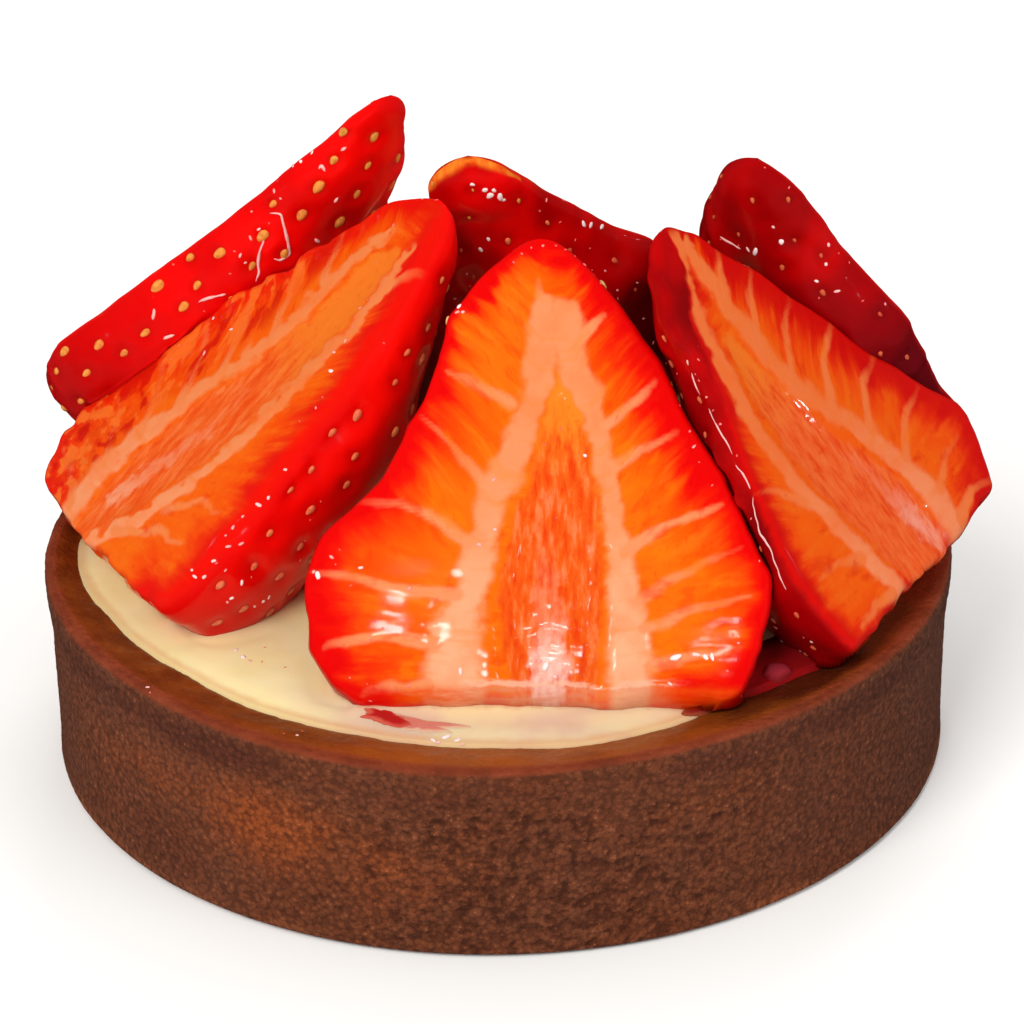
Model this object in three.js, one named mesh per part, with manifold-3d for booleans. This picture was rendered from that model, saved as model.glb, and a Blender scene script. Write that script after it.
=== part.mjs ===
// Individual strawberry tart: a straight-walled cocoa shortcrust shell, a pastry
// cream filling and a crown of six strawberry halves that lean on one another.
// Units are millimetres, +Z is up, and the origin is the centre of the underside.
import * as THREE from 'three';
import { ParametricGeometry } from 'three/addons/geometries/ParametricGeometry.js';
import { mergeVertices } from 'three/addons/utils/BufferGeometryUtils.js';
import Module from 'manifold-3d';

// ---- driving dimensions -------------------------------------------------------
const SHELL_RADIUS = 40;        // outside radius of the straight wall (80 mm ring)
const SHELL_HEIGHT = 18;        // height of the flat rim over the underside
const RIM_WIDTH = 3.7;          // thickness of the wall at the rim
const FLOOR_THICKNESS = 3.4;    // thickness of the shell's floor
const WALL_DRAFT = 0.5;         // how much thicker the wall is at the floor
const FOOT_RADIUS = 0.9;        // rounding of the bottom edge
const ARRIS_RADIUS = 0.45;      // rounding of the rim's outer edge
const LIP_RADIUS = 0.9;         // rounding of the rim's inner edge
const RIM_WAVE = 0.22;          // unevenness of the rim's height
const FRONT_DIP = 0.6;          // the rim is lowest at the front
const WALL_WAVE = 0.16;         // unevenness of the wall's radius
const CREAM_LEVEL = 17.2;       // level of the cream's surface
const CREAM_EDGE_RISE = 0.35;   // the cream climbs a little at the wall
const GAP = 0.3;                // clearance kept between touching pieces
const TURN_SEGMENTS = 84;       // facets round the shell and the cream
const SKIN_FACETS = 13;         // facets round a berry's skin
const FACE_FACETS = 2;          // facets across a berry's cut face
const LENGTH_FACETS = 19;       // facets from a berry's stalk end to its tip

// Each berry half: [x, y, z] is the middle of its stalk end on the cut plane;
// facing is the compass angle that the cut face looks towards, lean the rise of
// the axis from stalk end to tip, turn the roll of the cut face about that axis.
// left and right are the half-widths at the shoulder, shoulder its place along
// the length, stalk the stalk end's share of that width, taper and blunt the two
// exponents of the flank, depth the share of the width that the half is deep,
// bend the sideways drift of the tip, and waistL and waistR the hollow flanks.
const BERRIES = {
  strawberry_half_front: { at: [4.10, -29.85, 18.03], facing: -91.8, lean: 51.6, turn: -1.7, length: 39.34, left: 20.28, right: 18.01, shoulder: 0.27, stalk: 0.77, taper: 1.12, blunt: 0.65, depth: 0.77, bend: -0.02, waistL: 0.23, waistR: 0.07 },
  strawberry_half_front_left: { at: [-33.96, -9.18, 21.69], facing: -153.8, lean: 42.3, turn: -0.2, length: 41.95, left: 19.54, right: 12.99, shoulder: 0.13, stalk: 0.74, taper: 1.14, blunt: 0.55, depth: 0.96, bend: 0.13, waistL: 0.06, waistR: -0.02 },
  strawberry_half_front_right: { at: [35.37, -16.30, 21.41], facing: -23.0, lean: 52.4, turn: -10.1, length: 36.96, left: 12.48, right: 18.89, shoulder: 0.21, stalk: 0.85, taper: 1.03, blunt: 0.75, depth: 0.78, bend: -0.02, waistL: -0.03, waistR: 0.09 },
  strawberry_half_back_left: { at: [-31.78, 25.04, 22.58], facing: 148.9, lean: 50.6, turn: -22.0, length: 43.10, left: 15.69, right: 16.09, shoulder: 0.18, stalk: 0.73, taper: 1.03, blunt: 0.71, depth: 0.68, bend: 0.00, waistL: -0.01, waistR: 0.13 },
  strawberry_half_back_right: { at: [34.14, 17.80, 20.91], facing: 51.7, lean: 57.3, turn: -3.1, length: 39.14, left: 13.35, right: 14.60, shoulder: 0.23, stalk: 0.70, taper: 1.20, blunt: 0.66, depth: 0.79, bend: -0.04, waistL: -0.03, waistR: 0.01 },
  strawberry_half_back: { at: [4.10, 29.73, 20.69], facing: 79.8, lean: 50.9, turn: 8.2, length: 41.55, left: 16.96, right: 16.14, shoulder: 0.24, stalk: 0.72, taper: 1.15, blunt: 0.77, depth: 0.70, bend: 0.05, waistL: -0.10, waistR: 0.01 },
};

// ---- closed solids for the cuts -------------------------------------------------
const wasm = await Module();
wasm.setup();

function bare(geometry) {
  const g = geometry.clone();
  g.deleteAttribute('normal');
  g.deleteAttribute('uv');
  return mergeVertices(g, 1e-4);
}

function signedVolume(geometry) {
  const p = geometry.attributes.position;
  const idx = geometry.index.array;
  const a = new THREE.Vector3();
  const b = new THREE.Vector3();
  const c = new THREE.Vector3();
  let v = 0;
  for (let i = 0; i < idx.length; i += 3) {
    a.fromBufferAttribute(p, idx[i]);
    b.fromBufferAttribute(p, idx[i + 1]);
    c.fromBufferAttribute(p, idx[i + 2]);
    v += a.dot(b.cross(c)) / 6;
  }
  return v;
}

function solid(geometry) {
  const g = bare(geometry);
  const tri = Array.from(g.index.array);
  const flip = signedVolume(g) < 0;
  const out = [];
  for (let i = 0; i < tri.length; i += 3) {
    const [a, b, c] = [tri[i], tri[i + 1], tri[i + 2]];
    if (a === b || b === c || a === c) continue;
    out.push(a, flip ? c : b, flip ? b : c);
  }
  return new wasm.Manifold(new wasm.Mesh({
    numProp: 3,
    vertProperties: new Float32Array(g.attributes.position.array),
    triVerts: new Uint32Array(out),
  }));
}

function geometryOf(body) {
  const m = body.getMesh();
  const g = new THREE.BufferGeometry();
  g.setAttribute('position', new THREE.BufferAttribute(new Float32Array(m.vertProperties), 3));
  g.setIndex(Array.from(m.triVerts));
  g.computeVertexNormals();
  return g;
}

// ---- shell ------------------------------------------------------------------------
const wave = (a, n, phase) => Math.sin(n * a + phase);
const rimHeight = (a) => RIM_WAVE * (0.6 * wave(a, 2, 0.4) + 0.4 * wave(a, 5, 1.7))
  - FRONT_DIP * Math.exp(-Math.pow(Math.atan2(Math.sin(a + Math.PI / 2), Math.cos(a + Math.PI / 2)) / 0.42, 2));
const wallOut = (a) => WALL_WAVE * (0.55 * wave(a, 3, 0.9) + 0.3 * wave(a, 7, 2.1) + 0.15 * wave(a, 11, 0.3));

function corner(cx, cz, r, from, to, steps) {
  const pts = [];
  for (let i = 0; i <= steps; i++) {
    const t = THREE.MathUtils.degToRad(from + (to - from) * i / steps);
    pts.push(new THREE.Vector2(cx + r * Math.cos(t), cz + r * Math.sin(t)));
  }
  return pts;
}

// Turns a (radius, height) profile about Z; rise and swell vary it round the ring.
function turned(profile, rise, swell) {
  const g = new THREE.LatheGeometry(profile, TURN_SEGMENTS);
  g.rotateX(Math.PI / 2);
  const p = g.attributes.position;
  for (let i = 0; i < p.count; i++) {
    const x = p.getX(i);
    const y = p.getY(i);
    const z = p.getZ(i);
    const r = Math.hypot(x, y);
    if (r < 1e-6) continue;
    const a = Math.atan2(y, x);
    const k = (r + (swell ? swell(a, r, z) : 0)) / r;
    p.setXYZ(i, x * k, y * k, z + (rise ? rise(a, r, z) : 0));
  }
  return g;
}

function shellGeometry(grow) {
  const R = SHELL_RADIUS + grow;
  const H = SHELL_HEIGHT + grow;
  const inner = SHELL_RADIUS - RIM_WIDTH - grow;
  const floor = FLOOR_THICKNESS + grow;
  const profile = [
    new THREE.Vector2(0, 0),
    ...corner(R - FOOT_RADIUS, FOOT_RADIUS, FOOT_RADIUS, -90, 0, 3),
    new THREE.Vector2(R, H * 0.5),
    ...corner(R - ARRIS_RADIUS, H - ARRIS_RADIUS, ARRIS_RADIUS, 0, 90, 2),
    ...corner(inner + LIP_RADIUS, H - LIP_RADIUS, LIP_RADIUS, 90, 180, 3),
    new THREE.Vector2(inner - WALL_DRAFT, floor + 1.2),
    new THREE.Vector2(inner - WALL_DRAFT - 1.2, floor),
    new THREE.Vector2(0, floor),
  ];
  const lift = (z) => THREE.MathUtils.smoothstep(z, H * 0.5, H - 2);
  return turned(profile,
    (a, r, z) => rimHeight(a) * lift(z),
    (a, r, z) => (r > inner + 1 && z > FOOT_RADIUS * 0.5 ? wallOut(a) * THREE.MathUtils.smoothstep(z, 0, 3) : 0));
}

// ---- cream --------------------------------------------------------------------------
const creamWave = (a, r) => 0.16 * wave(a, 2, 1.1) * (r / SHELL_RADIUS) + 0.1 * wave(a, 5, 0.2) * (r / SHELL_RADIUS) ** 2;

function creamGeometry() {
  const edge = SHELL_RADIUS - RIM_WIDTH - GAP;
  const bottom = FLOOR_THICKNESS + GAP;
  const profile = [
    new THREE.Vector2(0, bottom),
    new THREE.Vector2(edge - WALL_DRAFT - 1.2, bottom),
    new THREE.Vector2(edge - WALL_DRAFT, bottom + 1.2),
    new THREE.Vector2(edge, CREAM_LEVEL - 0.9),
    new THREE.Vector2(edge, CREAM_LEVEL - 0.9 + CREAM_EDGE_RISE),
    new THREE.Vector2(edge - 0.5, CREAM_LEVEL + CREAM_EDGE_RISE * 0.5 - 0.35),
    new THREE.Vector2(edge - 1.6, CREAM_LEVEL - 0.12),
    new THREE.Vector2(edge - 4, CREAM_LEVEL),
    new THREE.Vector2(edge * 0.6, CREAM_LEVEL + 0.1),
    new THREE.Vector2(0, CREAM_LEVEL + 0.1),
  ];
  return turned(profile, (a, r, z) => (z > CREAM_LEVEL - 1 ? creamWave(a, r) + rimHeight(a) * Math.pow(r / edge, 6) : 0), null);
}

// ---- strawberry halves ----------------------------------------------------------------
// Share of the shoulder's half-width at s, from the stalk end (0) to the tip (1).
function flank(s, b, waist) {
  if (s < b.shoulder) {
    const k = (b.shoulder - s) / b.shoulder;
    return b.stalk + (1 - b.stalk) * Math.sqrt(Math.max(0, 1 - k * k));
  }
  const t = (s - b.shoulder) / (1 - b.shoulder);
  const hollow = 1 - waist * Math.sin(Math.PI * t) ** 2;
  return Math.max(0, 1 - t ** b.taper) ** b.blunt * hollow;
}

function berryAxes(b) {
  const a = THREE.MathUtils.degToRad(b.facing);
  const e = THREE.MathUtils.degToRad(b.lean);
  const out = new THREE.Vector3(Math.cos(a), Math.sin(a), 0);
  const up = new THREE.Vector3(0, 0, 1);
  const axis = out.clone().multiplyScalar(-Math.cos(e)).addScaledVector(up, Math.sin(e));
  const face = out.clone().multiplyScalar(Math.sin(e)).addScaledVector(up, Math.cos(e));
  face.applyAxisAngle(axis, THREE.MathUtils.degToRad(b.turn));
  return { axis, face, side: new THREE.Vector3().crossVectors(axis, face) };
}

// grow makes the same half a little larger all round, as the tool for a clearance cut.
function berryGeometry(b, grow) {
  const { axis, face, side } = berryAxes(b);
  const origin = new THREE.Vector3(...b.at).addScaledVector(axis, -grow).addScaledVector(face, grow);
  const length = b.length + 2 * grow;
  const around = SKIN_FACETS + FACE_FACETS;
  const rows = LENGTH_FACETS + 1;
  const g = new ParametricGeometry((u, v, target) => {
    const row = Math.round(v * rows);
    const t = Math.max(0, row - 1) / LENGTH_FACETS;
    const s = row >= rows ? 1 : 0.5 * (1 - Math.cos(Math.PI * t));
    const wl = b.left * flank(s, b, b.waistL);
    const wr = b.right * flank(s, b, b.waistR);
    const open = row >= rows ? 0 : 1;
    const widthL = (wl + grow) * open;
    const widthR = (wr + grow) * open;
    const deep = (b.depth * 0.5 * (wl + wr) + 2 * grow) * open;
    const k = Math.round(u * around) % around;
    let across;
    let down;
    if (k <= SKIN_FACETS) {
      const phi = Math.PI * k / SKIN_FACETS;
      across = Math.cos(phi) * (phi < Math.PI / 2 ? widthR : widthL);
      down = Math.sin(phi) * deep;
    } else {
      const f = (k - SKIN_FACETS) / FACE_FACETS;
      across = -widthL + (widthL + widthR) * f;
      down = 0;
    }
    if (row === 0) {
      across = 0;
      down = deep * 0.4;
    }
    target.copy(origin)
      .addScaledVector(axis, s * length)
      .addScaledVector(side, across + b.bend * b.length * s * s)
      .addScaledVector(face, -down);
  }, around, rows);
  return g;
}

// ---- assembly ---------------------------------------------------------------------------
const shell = solid(shellGeometry(0));
const shellGuard = solid(shellGeometry(GAP));
const berryBodies = {};
const berryGuards = {};
for (const [name, b] of Object.entries(BERRIES)) {
  let body = solid(berryGeometry(b, 0)).subtract(shellGuard);
  // a berry gives way to those placed before it, where their flanks press together
  for (const other of Object.keys(berryBodies)) body = body.subtract(berryGuards[other]);
  const parts = body.decompose().sort((p, q) => q.volume() - p.volume());
  berryBodies[name] = parts[0];
  berryGuards[name] = solid(berryGeometry(b, GAP));
}
let cream = solid(creamGeometry());
for (const name of Object.keys(BERRIES)) cream = cream.subtract(berryGuards[name]);
cream = cream.decompose().sort((p, q) => q.volume() - p.volume())[0];

const tart = new THREE.Group();
tart.name = 'strawberry_tart';

function add(name, body, color, roughness) {
  const mesh = new THREE.Mesh(geometryOf(body), new THREE.MeshStandardMaterial({ color, roughness, metalness: 0 }));
  mesh.name = name;
  tart.add(mesh);
}

add('crust_shell', shell, 0x5f3a28, 0.75);
add('cream_filling', cream, 0xe6d49b, 0.3);
const berryColours = [0xe8501c, 0xe2401a, 0xd8380f, 0xcc0a06, 0x8e0410, 0x8a0408];
Object.keys(berryBodies).forEach((name, i) => add(name, berryBodies[name], berryColours[i], 0.22));

export default tart;
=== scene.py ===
"""Individual strawberry tart: cocoa shortcrust shell, pastry cream, six glazed strawberry halves.

Everything is built from named sizes in millimetres, in the CAD part's frame, and turned into metres at the end.
"""
import math

import bpy
import numpy as np
from mathutils import Matrix


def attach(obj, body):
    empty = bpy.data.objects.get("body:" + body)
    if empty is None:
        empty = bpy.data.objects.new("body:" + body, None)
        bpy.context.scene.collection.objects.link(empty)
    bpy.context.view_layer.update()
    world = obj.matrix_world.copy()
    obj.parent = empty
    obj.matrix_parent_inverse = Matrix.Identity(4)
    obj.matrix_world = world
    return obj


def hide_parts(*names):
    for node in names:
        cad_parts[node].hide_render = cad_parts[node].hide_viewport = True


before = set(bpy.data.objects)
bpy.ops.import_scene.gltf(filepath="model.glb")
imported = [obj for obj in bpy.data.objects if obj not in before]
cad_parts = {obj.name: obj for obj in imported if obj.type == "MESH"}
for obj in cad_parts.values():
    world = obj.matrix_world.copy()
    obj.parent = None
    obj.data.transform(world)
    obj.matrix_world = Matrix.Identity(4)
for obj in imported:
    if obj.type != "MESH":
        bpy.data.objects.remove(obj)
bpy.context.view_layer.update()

MM = 0.001
TAU = 2 * math.pi

# ---------------------------------------------------------------------------------------------
# sizes shared with the CAD part, mm
# ---------------------------------------------------------------------------------------------
SHELL_R, SHELL_H = 40.0, 18.0
RIM_WAVE, FRONT_DIP, WALL_WAVE = 0.22, 0.6, 0.16
CREAM_LEVEL = 17.2

BERRIES = {
    "front": dict(at=(4.10, -29.85, 18.03), facing=-91.8, lean=51.6, turn=-1.7, length=39.34, left=20.28, right=18.01, shoulder=0.27, stalk=0.77, taper=1.12, blunt=0.65, depth=0.77, bend=-0.02, waistL=0.23, waistR=0.07),
    "front_left": dict(at=(-33.96, -9.18, 21.69), facing=-153.8, lean=42.3, turn=-0.2, length=41.95, left=19.54, right=12.99, shoulder=0.13, stalk=0.74, taper=1.14, blunt=0.55, depth=0.96, bend=0.13, waistL=0.06, waistR=-0.02),
    "front_right": dict(at=(35.37, -16.30, 21.41), facing=-23.0, lean=52.4, turn=-10.1, length=36.96, left=12.48, right=18.89, shoulder=0.21, stalk=0.85, taper=1.03, blunt=0.75, depth=0.78, bend=-0.02, waistL=-0.03, waistR=0.09),
    "back_left": dict(at=(-31.78, 25.04, 22.58), facing=148.9, lean=50.6, turn=-22.0, length=43.10, left=15.69, right=16.09, shoulder=0.18, stalk=0.73, taper=1.03, blunt=0.71, depth=0.68, bend=0.00, waistL=-0.01, waistR=0.13),
    "back_right": dict(at=(34.14, 17.80, 20.91), facing=51.7, lean=57.3, turn=-3.1, length=39.14, left=13.35, right=14.60, shoulder=0.23, stalk=0.70, taper=1.20, blunt=0.66, depth=0.79, bend=-0.04, waistL=-0.03, waistR=0.01),
    "back": dict(at=(4.10, 29.73, 20.69), facing=79.8, lean=50.9, turn=8.2, length=41.55, left=16.96, right=16.14, shoulder=0.24, stalk=0.72, taper=1.15, blunt=0.77, depth=0.70, bend=0.05, waistL=-0.10, waistR=0.01),
}
# small bumps and pinches of each outline: (place along the length, mm outwards, reach) on the left and right flank
OUTLINE = {
    "front": (((0.60, 0.45, 0.035), (0.47, -0.5, 0.05), (0.36, 0.5, 0.035), (0.83, 0.45, 0.03), (0.12, 0.35, 0.05)), ((0.22, 0.4, 0.06), (0.5, 0.3, 0.06), (0.72, 0.25, 0.04))),
    "front_left": (((0.06, -0.6, 0.08), (0.2, 0.3, 0.05), (0.42, -0.4, 0.06), (0.62, 0.4, 0.05), (0.84, -0.55, 0.06), (0.94, 0.75, 0.05)), ((0.3, 0.3, 0.08), (0.55, 0.3, 0.06))),
    "front_right": (((0.3, 0.3, 0.08), (0.6, -0.3, 0.06), (0.83, 2.0, 0.09), (0.95, 1.3, 0.05)), ((0.03, -0.3, 0.05), (0.17, 0.8, 0.08), (0.45, -0.35, 0.05), (0.6, 0.3, 0.05), (0.78, 0.3, 0.04), (0.3, -0.25, 0.05), (0.95, 0.9, 0.05))),
    "back_left": (((0.3, 0.4, 0.06), (0.55, -0.3, 0.07), (0.7, -0.5, 0.06), (0.87, 0.35, 0.06)), ((0.15, 0.6, 0.10), (0.42, 0.3, 0.10), (0.61, -0.25, 0.06), (0.72, -0.35, 0.06), (0.955, 0.6, 0.035), (0.85, -0.55, 0.06))),
    "back_right": (((0.1, 0.5, 0.05), (0.22, 0.4, 0.05), (0.3, -0.5, 0.05), (0.42, 0.2, 0.04), (0.55, 1.35, 0.09), (0.7, 0.3, 0.07), (0.86, 0.5, 0.06), (0.95, 0.5, 0.05)), ((0.35, 0.4, 0.06), (0.69, -0.35, 0.07), (0.83, 0.1, 0.05), (0.93, 0.0, 0.06))),
    "back": (((0.20, 1.3, 0.10), (0.42, 0.25, 0.08), (0.60, 1.9, 0.06), (0.76, 0.6, 0.07), (0.9, 0.7, 0.06)), ((0.3, 0.4, 0.06), (0.6, -0.35, 0.07), (0.86, -0.8, 0.07))),
}
# radius of the rounded tip, of the rounded stalk end and of the cut edge (left, right), how far the stalk end bulges,
# and swellings of the skin (place along, angle round from the right edge, mm, reach along, reach round)
ROUND = {
    "front": dict(tip=3.0, stalk=1.5, edge=(0.6, 0.6), dome=0.7, sag=0.35, cap=3.0, swell=()),
    "front_left": dict(tip=3.1, stalk=0.5, edge=(0.4, 1.5), dome=0.4, sag=0.45, cap=3.4, nudge=-1.4, teeth=(0.95, 2.1), swell=((0.50, 1.0, 2.2, 0.19, 0.75),)),
    "front_right": dict(tip=2.8, stalk=0.9, edge=(0.8, 0.7), dome=0.4, sag=0.5, cap=2.2, tilt=0.2, swell=((0.55, 2.1, 0.7, 0.2, 0.5),)),
    "back_left": dict(tip=2.4, stalk=1.6, edge=(0.9, 0.8), dome=0.6, nudge=0.4, pit=0.3, swell=()),
    "back_right": dict(tip=4.4, stalk=1.6, edge=(0.9, 0.9), dome=0.6, nudge=-0.6, swell=()),
    "back": dict(tip=4.1, stalk=1.6, edge=(1.2, 1.2), dome=0.6, nudge=-0.65, sliver=(1.2, 1.2), swell=((0.35, 1.6, 1.2, 0.25, 0.8),)),
}
# seeds that stand out on the cut edge: (place along, angle round)
EDGE_SEEDS = {"front": ((0.62, 3.09), (0.60, 3.02), (0.36, 3.10), (0.83, 3.08), (0.84, 3.0), (0.115, 3.09), (0.72, 3.06), (0.22, 3.07), (0.48, 3.05), (0.9, 0.06), (0.55, 0.05), (0.3, 0.06))}
ORDER = ["front", "front_left", "front_right", "back_left", "back_right", "back"]


# ---------------------------------------------------------------------------------------------
# small numeric helpers
# ---------------------------------------------------------------------------------------------
def smooth(x, a, b):
    """Smooth step from 0 at a to 1 at b; a may be above b."""
    t = np.clip((np.asarray(x, float) - a) / (b - a), 0, 1)
    return t * t * (3 - 2 * t)


def bell(x, w):
    return np.exp(-(np.asarray(x, float) / w) ** 2)


def wrap(a):
    return np.arctan2(np.sin(a), np.cos(a))


def hashed(ix, iy, iz, seed):
    h = ix.astype(np.int64) * 374761393 + iy.astype(np.int64) * 668265263 + iz.astype(np.int64) * 1440662683 + seed * 974634777
    h = (h & 0xFFFFFFFF).astype(np.uint32)
    h ^= h >> np.uint32(13)
    h = h * np.uint32(1274126177)
    h ^= h >> np.uint32(16)
    h = h * np.uint32(2246822519)
    h ^= h >> np.uint32(15)
    return h.astype(np.float64) / 4294967295.0


def noise(p, seed=0):
    """Value noise in -1..1 at points p (..., 3)."""
    p = np.asarray(p, float)
    i = np.floor(p).astype(np.int64)
    f = p - i
    f = f * f * f * (f * (6 * f - 15) + 10)
    out = 0.0
    for dx in (0, 1):
        wx = f[..., 0] if dx else 1 - f[..., 0]
        for dy in (0, 1):
            wy = f[..., 1] if dy else 1 - f[..., 1]
            for dz in (0, 1):
                wz = f[..., 2] if dz else 1 - f[..., 2]
                out = out + wx * wy * wz * hashed(i[..., 0] + dx, i[..., 1] + dy, i[..., 2] + dz, seed)
    return out * 2 - 1


def fbm(p, octaves=4, seed=0, gain=0.5):
    p = np.asarray(p, float)
    out, amp, norm = 0.0, 1.0, 0.0
    for k in range(octaves):
        out = out + amp * noise(p * (2.03 ** k) + 17.3 * k, seed + k * 31)
        norm += amp
        amp *= gain
    return out / norm


def cells(p, seed=0):
    """Distance to the nearest of jittered cell points, and that cell's own random number."""
    p = np.asarray(p, float)
    i = np.floor(p).astype(np.int64)
    best = np.full(p.shape[:-1], 9.0)
    own = np.zeros(p.shape[:-1])
    for dx in (-1, 0, 1):
        for dy in (-1, 0, 1):
            for dz in (-1, 0, 1):
                jx, jy, jz = i[..., 0] + dx, i[..., 1] + dy, i[..., 2] + dz
                qx = jx + 0.15 + 0.7 * hashed(jx, jy, jz, seed)
                qy = jy + 0.15 + 0.7 * hashed(jx, jy, jz, seed + 1)
                qz = jz + 0.15 + 0.7 * hashed(jx, jy, jz, seed + 2)
                d = np.sqrt((qx - p[..., 0]) ** 2 + (qy - p[..., 1]) ** 2 + (qz - p[..., 2]) ** 2)
                near = d < best
                best = np.where(near, d, best)
                own = np.where(near, hashed(jx, jy, jz, seed + 3), own)
    return best, own


def stack(*a):
    return np.stack(np.broadcast_arrays(*[np.asarray(x, float) for x in a]), -1)


def line_distance(pts, line):
    """Distance from 2-D points to a polyline, and how far along it (0 to 1) the nearest place is."""
    line = np.asarray(line, float)
    best = np.full(pts.shape[:-1], 1e9)
    along = np.zeros(pts.shape[:-1])
    n = len(line) - 1
    for k in range(n):
        a, b = line[k], line[k + 1]
        ab = b - a
        t = np.clip(((pts - a) @ ab) / max(ab @ ab, 1e-9), 0, 1)
        d = np.linalg.norm(pts - a - t[..., None] * ab, axis=-1)
        near = d < best
        best = np.where(near, d, best)
        along = np.where(near, (k + t) / n, along)
    return best, along


def display(r, g, b, a=1.0):
    """A display colour (0..255) as the linear colour that the shader takes."""
    def one(c):
        c /= 255.0
        return c / 12.92 if c <= 0.04045 else ((c + 0.055) / 1.055) ** 2.4
    return (one(r), one(g), one(b), a)


lin = display


# ---------------------------------------------------------------------------------------------
# mesh helpers
# ---------------------------------------------------------------------------------------------
def add_mesh(name, verts, quads, tris, attrs=None, uv=None):
    """verts in mm; quads (n, 4) and tris (m, 3) of indices; attrs of floats or vectors at the vertices; uv per loop."""
    verts = np.asarray(verts, float)
    quads = np.asarray(quads, np.int64).reshape(-1, 4)
    tris = np.asarray(tris, np.int64).reshape(-1, 3)
    me = bpy.data.meshes.new(name)
    me.vertices.add(len(verts))
    me.vertices.foreach_set("co", (verts * MM).astype(np.float32).ravel())
    loops = np.concatenate([quads.ravel(), tris.ravel()]).astype(np.int32)
    me.loops.add(len(loops))
    me.loops.foreach_set("vertex_index", loops)
    starts = np.concatenate([np.arange(len(quads)) * 4, len(quads) * 4 + np.arange(len(tris)) * 3]).astype(np.int32)
    me.polygons.add(len(starts))
    me.polygons.foreach_set("loop_start", starts)
    me.update(calc_edges=True)
    me.polygons.foreach_set("use_smooth", np.ones(len(starts), bool))
    for key, val in (attrs or {}).items():
        val = np.asarray(val, np.float32)
        if val.ndim == 1:
            at = me.attributes.new(key, "FLOAT", "POINT")
            at.data.foreach_set("value", val.ravel())
        else:
            at = me.attributes.new(key, "FLOAT_VECTOR", "POINT")
            at.data.foreach_set("vector", val.ravel())
    if uv is not None:
        layer = me.uv_layers.new(name="OFBake")
        layer.data.foreach_set("uv", np.asarray(uv, np.float32).ravel())
    me.update()
    ob = bpy.data.objects.new(name, me)
    bpy.context.scene.collection.objects.link(ob)
    return ob


def volume(v, quads, tris):
    t = np.concatenate([quads[:, [0, 1, 2]], quads[:, [0, 2, 3]], tris]) if len(quads) else tris
    a, b, c = v[t[:, 0]], v[t[:, 1]], v[t[:, 2]]
    return float(np.einsum("ij,ij->i", a, np.cross(b, c)).sum() / 6)


def wrapped_grid(name, P, pole0, pole1, attrs=None, cols=None, rows=None):
    """A closed mesh from rows of rings P (R, C, 3), closed by a pole at each end. attrs: key -> (array (R, C[, k]), value at pole0, at pole1).
    cols and rows, 0..1 along the ring (C + 1 values) and along the rows (R values), lay out the bake map."""
    R, C = P.shape[:2]
    verts = np.concatenate([P.reshape(-1, 3), np.array([pole0, pole1], float)])
    idx = np.arange(R * C).reshape(R, C)
    nxt = np.roll(idx, -1, axis=1)
    quads = np.stack([idx[:-1], nxt[:-1], nxt[1:], idx[1:]], -1).reshape(-1, 4)
    p0, p1 = R * C, R * C + 1
    t0 = np.stack([np.full(C, p0), nxt[0], idx[0]], -1)
    t1 = np.stack([np.full(C, p1), idx[-1], nxt[-1]], -1)
    tris = np.concatenate([t0, t1])
    cols = np.linspace(0, 1, C + 1) if cols is None else np.asarray(cols)
    rows = np.linspace(0.02, 0.98, R) if rows is None else np.asarray(rows)
    cu0, cu1 = np.tile(cols[:-1], (R - 1, 1)), np.tile(cols[1:], (R - 1, 1))
    rv0, rv1 = np.repeat(rows[:-1, None], C, 1), np.repeat(rows[1:, None], C, 1)
    quv = np.stack([np.stack([cu0, rv0], -1), np.stack([cu1, rv0], -1), np.stack([cu1, rv1], -1), np.stack([cu0, rv1], -1)], 2)
    mid = (cols[:-1] + cols[1:]) / 2
    lo, hi = rows[0] - 0.01, rows[-1] + 0.01
    t0uv = np.stack([np.stack([mid, np.full(C, lo)], -1), np.stack([cols[1:], np.full(C, rows[0])], -1), np.stack([cols[:-1], np.full(C, rows[0])], -1)], 1)
    t1uv = np.stack([np.stack([mid, np.full(C, hi)], -1), np.stack([cols[:-1], np.full(C, rows[-1])], -1), np.stack([cols[1:], np.full(C, rows[-1])], -1)], 1)
    quv = quv.reshape(-1, 4, 2)
    if volume(verts, quads, tris) < 0:
        quads, tris = quads[:, ::-1], tris[:, ::-1]
        quv, t0uv, t1uv = quv[:, ::-1], t0uv[:, ::-1], t1uv[:, ::-1]
    uv = np.concatenate([quv.reshape(-1, 2), t0uv.reshape(-1, 2), t1uv.reshape(-1, 2)])
    flat = {}
    for key, (arr, a0, a1) in (attrs or {}).items():
        arr = np.asarray(arr, float)
        k = arr.shape[2:]
        flat[key] = np.concatenate([arr.reshape((-1,) + k), np.broadcast_to(np.asarray(a0, float), k)[None], np.broadcast_to(np.asarray(a1, float), k)[None]])
    return add_mesh(name, verts, quads, tris, flat, uv)


def ring_normals(P, pole0, pole1):
    """Unit normals of the rings of a wrapped grid, pointing to whichever side the rows' winding gives."""
    up = np.concatenate([P[1:], np.broadcast_to(pole1, P[-1:].shape)])
    dn = np.concatenate([np.broadcast_to(pole0, P[:1].shape), P[:-1]])
    n = np.cross(np.roll(P, -1, 1) - np.roll(P, 1, 1), up - dn)
    return n / np.maximum(np.linalg.norm(n, axis=-1, keepdims=True), 1e-9)


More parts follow.
